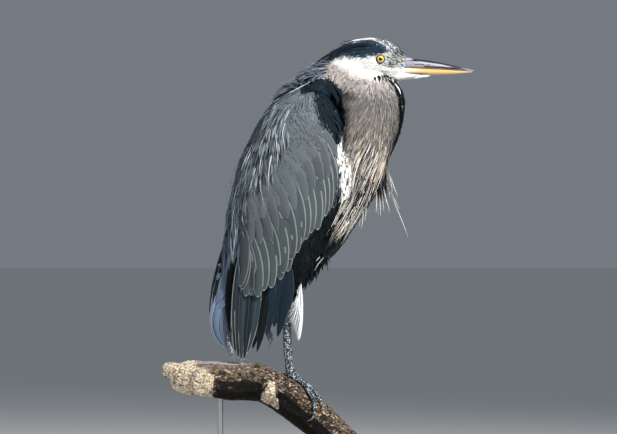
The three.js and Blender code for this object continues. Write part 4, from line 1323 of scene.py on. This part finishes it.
def globe(name, centre):
    """A ball of the eye's radius, with its centre in mm."""
    bm = bmesh.new()
    bmesh.ops.create_uvsphere(bm, u_segments=96, v_segments=48, radius=1.0)
    for vert in bm.verts:
        vert.co = Vector([centre[k] * MM + vert.co[k] * EYE_RADIUS * MM for k in range(3)])
    for face in bm.faces:
        face.smooth = True
    return object_of(bm, name)


def eye_look(word):
    """A glossy yellow iris, streaked from the pupil outwards and darker at its edge."""
    made, tree, shader = material("iris_" + word,
                                  {"Roughness": 0.25, "Coat Weight": 1.0, "Coat Roughness": 0.03})
    at = node(tree, "SeparateXYZ", {0: object_place(tree)})
    dx = maths("SUBTRACT", at[0], (EYE_MM[0] + 0.4) * MM)
    dz = maths("SUBTRACT", at[2], (EYE_MM[2] + 0.2) * MM)
    far = maths("SQRT", maths("ADD", times(dx, dx), times(dz, dz)))
    around = times(maths("ARCTAN2", dz, dx), 6.0)
    streak = noise(node(tree, "CombineXYZ", {0: around, 1: times(far, 300.0)})[0], 2, 3)
    yellow = mix(streak, (0.72, 0.50, 0.03, 1), (0.90, 0.72, 0.10, 1))
    iris = painted(yellow, (0.55, 0.28, 0.02), step(far, 4.4 * MM, 6.2 * MM))
    iris = mix(step(far, 3.2 * MM, 3.5 * MM), (0.001, 0.001, 0.001, 1), iris)
    surfaced(shader, painted(iris, (0.01, 0.01, 0.012), step(far, 5.7 * MM, 6.1 * MM)))
    return made


lid_look, tree, shader = material("lid_skin", {"Roughness": 0.45})
folds = noise(object_place(tree), 1400, 3)
surfaced(shader, mix(folds, (0.012, 0.014, 0.016, 1), (0.05, 0.055, 0.06, 1)), folds, 0.4, 0.0003)
for side, word in ((RIGHT, "right"), (LEFT, "left")):
    centre = (EYE_MM[0], side * EYE_MM[1], EYE_MM[2])
    dress(globe("eyeball_" + word, centre), eye_look(word), ("eye_" + word,))
    # The lids: a ring of skin round the eye, a little longer than it is high.
    bm = bmesh.new()
    rings, around = 10, 56
    rows = []
    for i in range(around):
        turn = 2 * math.pi * i / around
        row = []
        for j in range(rings):
            roll = 2 * math.pi * j / rings
            far = 6.9 + 0.95 * math.cos(roll) + 0.25 * math.cos(2 * turn)
            out = math.sqrt(EYE_RADIUS ** 2 - 6.4 ** 2) + 0.2 + 0.95 * math.sin(roll)
            row.append(bm.verts.new(((centre[0] + far * math.cos(turn)) * MM, side * (EYE_MM[1] + out) * MM,
                                     (centre[2] + far * 0.97 * math.sin(turn)) * MM)))
        rows.append(row)
    for i in range(around):
        for j in range(rings):
            a, b = rows[i], rows[(i + 1) % around]
            corners = (a[j], b[j], b[(j + 1) % rings], a[(j + 1) % rings])
            bm.faces.new(corners if side < 0 else corners[::-1]).smooth = True
    dress(object_of(bm, "eyelid_" + word), lid_look)


# ============================================================ bill
# Long dagger bill of horn over bone: grey-lavender upper half with a darker ridge and nostril
# groove, yellow-orange lower half, meeting along a fine cutting edge.

# From under the face to the tip, as X, Y, Z, half depth and half width in mm.
UPPER_BILL = [
    (173, 0, 735, 8.5, 9.5), (194, 0, 735.4, 8.4, 8.4), (216, 0, 733.4, 7.6, 7.0), (240, 0, 731.2, 6.6, 5.7),
    (272, 0, 727.2, 4.3, 3.8), (298, 0, 723.2, 2.2, 2.2), (313, 0, 720.8, 0.7, 0.7),
]
LOWER_BILL = [
    (171, 0, 721.4, 5.2, 9), (194, 0, 721.2, 5.0, 8), (216, 0, 720.3, 5.0, 6.7), (240, 0, 719.2, 4.6, 5.3),
    (264, 0, 718.9, 3.8, 4), (289, 0, 718.8, 2.2, 2.5), (309, 0, 719.2, 0.6, 0.7),
]


def upper_shape(points, rows, turn):
    """Pinches the ridge, cuts the nostril groove and keeps the lower edge sharp."""
    up = np.sin(turn)[None, :]
    x = rows[:, :1]
    groove = np.exp(-((up - 0.38) / 0.16) ** 2) * ramp(x, 188, 196) * (1 - ramp(x, 246, 290)) * 0.17
    slit = np.exp(-((up - 0.38) / 0.09) ** 2) * ramp(x, 203, 205) * (1 - ramp(x, 217, 220)) * 0.25
    points[:, :, 1] *= 1 - groove - slit - 0.28 * np.clip(up, 0, 1) ** 2
    return points


def bill_look(name, lower):
    """Horn with its grain lengthwise, yellow on the lower half and lavender with dark marks on the upper."""
    made, tree, shader = material(name, {"Roughness": 0.38, "Specular IOR Level": 0.3})
    where = object_place(tree)
    at = node(tree, "SeparateXYZ", {0: where})
    grain = noise(stretched(where, 60.0, 500.0, 500.0), 1, 5)
    fleck = noise(where, 420, 4, 0.7)
    if lower:
        base = mix(step(at[0], 0.19, 0.235), (0.80, 0.76, 0.64, 1), (0.66, 0.44, 0.155, 1))
        base = painted(base, (0.55, 0.44, 0.27), step(at[0], 0.285, 0.306))
        base = painted(base, (0.55, 0.27, 0.05), times(step(grain, 0.45, 0.75), 0.35))
        under = step(times_plus(at[0], 0.03, at[2]), 0.7232, 0.7210)
        base = painted(base, (0.22, 0.11, 0.04), times(under, 0.6))
        seam = times(step(at[2], 0.7180, 0.7174), step(at[0], 0.24, 0.225))
        base = painted(base, (0.30, 0.17, 0.06), times(seam, 0.85))
    else:
        # The ridge falls toward the tip, so heights are taken from lines that fall with it.
        rise = times_plus(at[0], 0.142, at[2])
        base = mix(grain, (0.22, 0.22, 0.31, 1), (0.56, 0.58, 0.72, 1))
        dull = times(step(rise, 0.7607, 0.7620), step(rise, 0.7662, 0.7650))
        dull = times(dull, step(fleck, 0.40, 0.60))
        base = painted(base, (0.20, 0.13, 0.15), times(dull, step(at[0], 0.196, 0.208)))
        culmen = step(times_plus(step(at[0], 0.250, 0.300), 0.0042, rise), 0.7680, 0.7688)
        base = painted(base, (0.010, 0.014, 0.022), times(culmen, step(at[0], 0.203, 0.212)))
        line = times_plus(at[0], 0.057, at[2])
        stripe = times(step(line, 0.7394, 0.7400), step(line, 0.7428, 0.7421))
        base = painted(base, (0.045, 0.020, 0.026), times(stripe, step(at[0], 0.224, 0.230)))
        for low, high, start, end in ((0.7308, 0.7322, 0.211, 0.229), (0.7368, 0.7388, 0.196, 0.216)):
            slot = times(step(at[2], low, low + 0.0004), step(at[2], high, high - 0.0004))
            span = times(step(at[0], start, start + 0.002), step(at[0], end, end - 0.002))
            base = painted(base, (0.008, 0.009, 0.012), times(slot, span))
        gape = step(rise, 0.7592, 0.7574)
        along = times(step(at[0], 0.200, 0.208), step(at[0], 0.29, 0.25))
        base = painted(base, (0.40, 0.20, 0.06), times(gape, along))
        base = painted(base, (0.28, 0.28, 0.32), step(at[0], 0.285, 0.31))
        skin_side = step(times_plus(fleck, 0.020, at[0]), 0.212, 0.201)
        lore = mix(step(fleck, 0.56, 0.46), (0.72, 0.74, 0.76, 1), (0.10, 0.12, 0.16, 1))
        base = mix(times(skin_side, step(rise, 0.7570, 0.7585)), base, lore)
    pits = times(step(fleck, 0.58, 0.66), step(at[0], 0.225, 0.195))
    base = painted(base, (0.07, 0.06, 0.06), times(pits, 0.6))
    surfaced(shader, base, grain, 0.25, 0.0003)
    return made


upper_bill = tube("upper_bill", UPPER_BILL, 48, 16, 0.9, shape=upper_shape)
lower_bill = tube("lower_bill", LOWER_BILL, 40, 14, 0.9)
dress(upper_bill, bill_look("horn_bill_upper", False), ("bill_upper",))
dress(lower_bill, bill_look("horn_bill_lower", True), ("bill_lower",))


# ============================================================ legs
# Bare scaly legs: dark grey skin set with small pale many-sided scales, one leg standing, the
# other drawn up with its toes half shut.

# Joints between the solids of each leg: pads and knuckles as X, Y, Z, half depth and half width.
KNUCKLES = {
    "right": [[(-5, -13, 318, 6.0, 5.6), (-5, -13.5, 334, 7.2, 6.6), (-4, -14, 350, 6.2, 5.8)],
              [(0.5, -4.5, 216, 6.8, 6.4), (3, -4, 205, 8.2, 8.4), (8, -3, 200, 7.2, 8.6),
               (15, -4, 197.5, 5.2, 8.2)],
              [(8, -4, 201, 5.6, 6.5), (2, 6, 202, 6.0, 5.6), (-4, 12, 201, 5.4, 5.0)],
              [(3, -4, 204, 6.2, 6.0), (9, 4, 203, 5.6, 5.4), (13, 9, 201, 5.0, 4.8)]],
    "left": [[(-60, 5, 309, 5.6, 5.6), (-58, 4, 303, 6.6, 6.6), (-55, 3, 297, 5.4, 5.4)],
             [(-54, 5, 303, 5.4, 5.4), (-62, 5, 305, 6.4, 6.0), (-70, 4, 301, 5.0, 5.0)]],
}
# How much fuller the scales make each leg than its solids, in mm at X, Y, Z.
FULLER = {"right": lambda x, y, z: 1.6 * ramp(z, 226, 250) * ramp(345 - z, 0, 30),
          "left": lambda x, y, z: 2.1 * ramp(298 - z, 0, 14)}
leg_look, tree, shader = material("scaly_leg", {"Roughness": 0.5})
where = object_place(tree)
scales = {"Vector": stretched(where, 1.0, 1.0, 0.8), "Scale": 640.0, "Randomness": 0.95}
each = node(tree, "SeparateColor", {0: node(tree, "TexVoronoi", scales)["Color"]})[0]
crack = step(node(tree, "TexVoronoi", scales, feature="DISTANCE_TO_EDGE")["Distance"], 0.02, 0.16)
# Painted light: the drawn-up leg's skin is painted paler than the standing leg's, for the light that falls on
# it.
lit_raised_leg = step(node(tree, "SeparateXYZ", {0: where})[0], -0.016, -0.024)
dark = mix(lit_raised_leg, (0.014, 0.021, 0.027, 1), (0.14, 0.17, 0.185, 1))
scale_tone = painted(dark, (0.54, 0.65, 0.73), step(each, 0.58, 0.72))
surfaced(shader, mix(crack, (0.012, 0.015, 0.018, 1), scale_tone), crack, 0.8, 0.0006)


def refined(names, name, voxel, rounds, look, knuckles=(), swell=None):
    """CAD nodes and the knuckles between them as one dense smooth mesh of their own shape."""
    obj = remeshed(joined(names, name, [tube("knuckle", stations) for stations in knuckles]), voxel)
    points = ease(points_of(obj.data), edges_of(obj.data), rounds, np.ones(len(obj.data.vertices)))
    if swell:
        points = points + normals_of(obj.data) * (swell(*points.T / MM) * MM)[:, None]
    moved_to(obj.data, points)
    dress(obj, look, names)


for side in ("right", "left"):
    parts = tuple(part + side for part in ("tarsus_", "hock_", "shin_", "toe_"))
    refined([name for name in NODES if name.startswith(parts)], "leg_" + side, 0.0008, 5, leg_look,
            KNUCKLES[side], FULLER[side])

claw_look, tree, shader = material("claw_horn", {"Roughness": 0.35})
surfaced(shader, mix(noise(object_place(tree), 700, 4), (0.05, 0.055, 0.06, 1), (0.26, 0.28, 0.29, 1)))
for name in [name for name in NODES if name.startswith("claw_")]:
    refined([name], name + "_fine", 0.0005, 3, claw_look)


# ============================================================ thigh tufts
# White silky thigh feathers hanging over the leg, fibrous, meeting in a point.

silk_look = feather_look("thigh_silk", 22, 0.3, 0.15, 0.2, 0.6, 0.2)


def silk(side, count, seed):
    """Strands fanning from under the belly's edge down the front of the leg."""
    rng = np.random.default_rng(seed)
    fan, deep = rng.random((2, count))
    high = rng.random(count)
    start_x = 18.5 + 2.0 * (fan - 0.5) * (1 - high) - 7 * (1 - fan) * (1 - high) + rng.normal(0, 0.6, count)
    start_z = 338 + 30 * high
    end_x = np.interp(fan, [0, 0.35, 0.7, 1], [-9, 2, 12, 15]) + rng.normal(0, 1.0, count)
    end_z = np.interp(fan, [0, 0.35, 0.7, 1], [318, 298, 276, 268]) + rng.normal(0, 3.5, count)
    end_x += (1 - fan) * rng.normal(0, 2.5, count)
    y = 20 + 21 * (deep - 0.5)
    top = start_x, side * y, start_z
    middle = (0.45 * start_x + 0.55 * np.maximum(end_x, 3) + 3.5, side * (y + 0.12 * (y - 20)),
              0.45 * start_z + 0.55 * end_z + 4)
    tip = end_x, side * (y - 0.35 * (y - 16)), end_z
    return np.array([top, middle, tip]).transpose(2, 0, 1)


for side, word, count, seed in ((RIGHT, "right", 420, 71), (LEFT, "left", 160, 72)):
    paths = silk(side, count, seed)
    # Painted shade: some strands are near black among the white, and strands reaching toward the back are
    # painted darker.
    shade_strand = np.random.default_rng(75).random((count, 1)) < 0.12
    colours = np.where(shade_strand, (0.06, 0.07, 0.08), (0.80, 0.82, 0.85))
    lit_to_front = 0.62 + 0.38 * ramp(paths[:, 2, :1], -8, 9)
    hanging("thigh_silk_" + word, paths, np.random.default_rng(73).uniform(0.7, 1.1, count), silk_look,
            jitter(colours * lit_to_front, 0.22, 74), (0.85, 0.86, 0.88), (0.2, side, 0), (0.5, 0.35, 0.05, 1.0),
            steps=8, columns=3)


# ============================================================ perch
# A short length of dead branch standing on the two display rods: weathered brown bark, with pale
# splintered wood at the broken end and on a bare strip down the right side, behind the foot.

def grain_way(p):
    """The way the branch runs beside each point, as X and Z."""
    axis = np.array([(-206, 202), (-180, 199.5), (-140, 197.5), (-100, 193), (-65, 194), (-35, 187.5),
                     (-2, 165), (30, 140), (54, 121), (84, 92), (112, 69)], float)
    gap = ((p[:, None, (0, 2)] - axis[None]) ** 2).sum(2)
    nearest = gap.argmin(1).clip(1, len(axis) - 2)
    return unit(axis[nearest + 1] - axis[nearest - 1])


def ripples(p, count, low, high, stretch, seed):
    """Smooth seeded noise made of waves low to high mm long, stretched along the branch."""
    rng = np.random.default_rng(seed)
    way = grain_way(p)
    full_turn = 6.2832
    total = np.zeros(len(p))
    for _ in range(count):
        wave = unit(rng.normal(size=3))
        size = rng.uniform(low, high)
        run = wave[0] * way[:, 0] + wave[2] * way[:, 1]
        kx = (wave[0] - run * way[:, 0] * (1 - 1 / stretch)) / size
        kz = (wave[2] - run * way[:, 1] * (1 - 1 / stretch)) / size
        phase = rng.uniform(0, full_turn)
        total += np.sin((kx * p[:, 0] + wave[1] / size * p[:, 1] + kz * p[:, 2]) * full_turn + phase)
    return total / math.sqrt(count)


perch = remeshed(joined(["perch"], "branch"), 0.0015)
perch_points = ease(points_of(perch.data), edges_of(perch.data), 10, np.ones(len(perch.data.vertices)))
moved_to(perch.data, perch_points)
perch_normals = normals_of(perch.data)
p = perch_points / MM
furrow = ripples(p, 24, 5, 12, 3.0, 92)
coarse = ripples(p, 16, 16, 44, 2.0, 93)
chips = ripples(p, 20, 3.5, 9, 5.0, 94)
broken_edge = np.interp(p[:, 2], [168, 175, 190, 203, 213, 222], [-132, -128, -127, -130, -145, -158])
broken = ramp(broken_edge - p[:, 0] + 2.2 * coarse, -2, 2)
BARE_STRIP = [(-30, 192, 5), (-33, 180, 9), (-36, 168, 13), (-35, 157, 15), (-28, 150, 9)]
pale = np.clip(np.maximum(broken, band(p, BARE_STRIP, 4) * ramp(-p[:, 1], 10, 20)), 0, 1)
relief = (-0.55 * np.abs(furrow) + 0.55 * coarse) * (1 - 0.3 * pale) - 1.1 * pale * np.clip(chips, 0, 2)
perch_points = perch_points + perch_normals * ((relief - 0.3) * MM)[:, None]
moved_to(perch.data, perch_points)
# Painted shade: bark facing down, away from the broken end, is marked to be painted near black.
below = ramp(0.16 * coarse + 0.10 * furrow - perch_normals[:, 2], -0.34, 0.30)
shade_below = below * ramp(perch_points[:, 0] / MM + 8 * coarse, -140, -118)
# Painted light: upward-facing bark toward the left end is marked to be painted paler grey.
lit_top = ramp(perch_normals[:, 2], 0.6, 0.9) * ramp(-p[:, 0], 55, 85)
# The attribute holds the pale wood, the painted shade below and the painted light on top.
set_colours(perch.data, "Wood", np.stack([pale, shade_below, lit_top], 1))

perch_look, tree, shader = material("bark", {"Roughness": 0.85, "Specular IOR Level": 0.2})
where = object_place(tree)
wood = node(tree, "SeparateColor", {0: stored_colour(tree, "Wood")})
fine = noise(where, 260, 6, 0.7)
spots = noise(where, 60, 5, 0.65)
plates = node(tree, "TexVoronoi", {"Vector": stretched(where, 0.6, 1.0, 1.0), "Scale": 400.0})
plate = node(tree, "SeparateColor", {0: plates["Color"]})
mottled = step(times_plus(spots, 0.7, plate[0]), 0.78, 1.06)
bark = mix(mottled, (0.018, 0.014, 0.011, 1), (0.115, 0.095, 0.070, 1))
bark = painted(bark, (0.24, 0.13, 0.068), times(step(plate[1], 0.66, 0.86), step(spots, 0.40, 0.56)))
bark = painted(bark, (0.38, 0.33, 0.26), step(plate[2], 0.91, 0.96))
bark = painted(bark, (0.008, 0.007, 0.006), step(fine, 0.46, 0.36))
# Painted light: paler grey on the upward-facing bark at the left.
bark = painted(bark, (0.30, 0.27, 0.265), times(wood[2], step(fine, 0.3, 0.55)))
heart = mix(step(fine, 0.38, 0.64), (0.22, 0.145, 0.075, 1), (0.78, 0.70, 0.58, 1))
heart = painted(heart, (0.035, 0.022, 0.013), step(times_plus(plate[0], 0.12, spots), 0.50, 0.40))
ragged = maths("SUBTRACT", times_plus(spots, 2.0, plate[0]), 1.5)
# Painted shade: the underside of the bark is painted near black, with a ragged edge.
painted_underside_shade = step(times_plus(ragged, 0.6, wood[1]), 0.26, 0.56)
bark = painted(bark, (0.003, 0.003, 0.0025), times(painted_underside_shade, 0.97))
rough_edge = times_plus(maths("SUBTRACT", spots, 0.5), 1.2, wood[0])
surfaced(shader, mix(step(rough_edge, 0.35, 0.6), bark, heart), fine, 0.8, 0.0012)
dress(perch, perch_look, ("perch",))


# ============================================================ display stand
# A painted board with rounded corners and two turned steel rods with round feet that carry the
# perch. The CAD solids are used as they are.

board_look, tree, shader = material("painted_board", {"Roughness": 0.55})
surfaced(shader, mix(noise(object_place(tree), 260, 4), (0.055, 0.055, 0.056, 1), (0.075, 0.075, 0.076, 1)))
steel_look, tree, shader = material("brushed_steel", {"Metallic": 1.0, "Roughness": 0.34})
brushed = noise(stretched(object_place(tree), 1, 1, 0.05), 900)
surfaced(shader, mix(brushed, (0.42, 0.43, 0.44, 1), (0.55, 0.56, 0.57, 1)))
for name, look in (("stand_base", board_look), ("stand_rod_rear", steel_look),
                   ("stand_rod_front", steel_look)):
    NODES[name].data.materials.clear()
    NODES[name].data.materials.append(look)


# ============================================================ studio
# A wide pale floor, a soft key light from the upper right and the viewer's side, a dim fill from
# the left and a light from behind, under an even pale sky.

bm = bmesh.new()
bmesh.ops.create_circle(bm, cap_ends=True, radius=40.0, segments=64)
floor = object_of(bm, "floor")
floor_look, _, _ = material("studio_floor", {"Base Color": (0.86, 0.86, 0.85, 1), "Roughness": 0.95})
floor.data.materials.append(floor_look)

AIM = Vector((0.03, 0.0, 0.47))


def lamp(name, place, size, power, colour):
    """A square soft light aimed at the bird."""
    data = bpy.data.lights.new(name, "AREA")
    data.size = size
    data.energy = power
    data.spread = math.radians(60)
    data.color = colour
    obj = new_object(name, data)
    obj.location = place
    obj.rotation_euler = (AIM - Vector(place)).to_track_quat("-Z", "Y").to_euler()
    return obj


lamp("key", (2.1, -2.3, 3.3), 0.6, 32, (1.0, 0.965, 0.91))
lamp("fill", (-2.6, -2.2, 1.4), 2.4, 3, (0.85, 0.93, 1.0))
lamp("rim", (-0.6, 2.8, 2.6), 1.6, 7, (0.95, 0.97, 1.0))

world = bpy.data.worlds.new("studio")
bpy.context.scene.world = world
world.use_nodes = True
sky = world.node_tree.nodes["Background"].inputs
sky["Color"].default_value = (0.80, 0.89, 1.0, 1)
sky["Strength"].default_value = 0.22

bpy.context.scene.view_settings.view_transform = "Standard"
# The camera stands square to the bird's side, far off. Its view is VIEW_WIDTH across at the bird, in metres.
CAMERA_FAR, VIEW_WIDTH = 9.0, 1.0489
camera_data = bpy.data.cameras.new("camera")
camera_data.sensor_width = 36.0
camera_data.lens = camera_data.sensor_width * CAMERA_FAR / VIEW_WIDTH
camera_data.clip_end = 200.0
camera = new_object("camera", camera_data)
camera.location = (0.0315, -CAMERA_FAR, 0.4726)
camera.rotation_euler = (math.radians(90), 0, 0)
bpy.context.scene.camera = camera
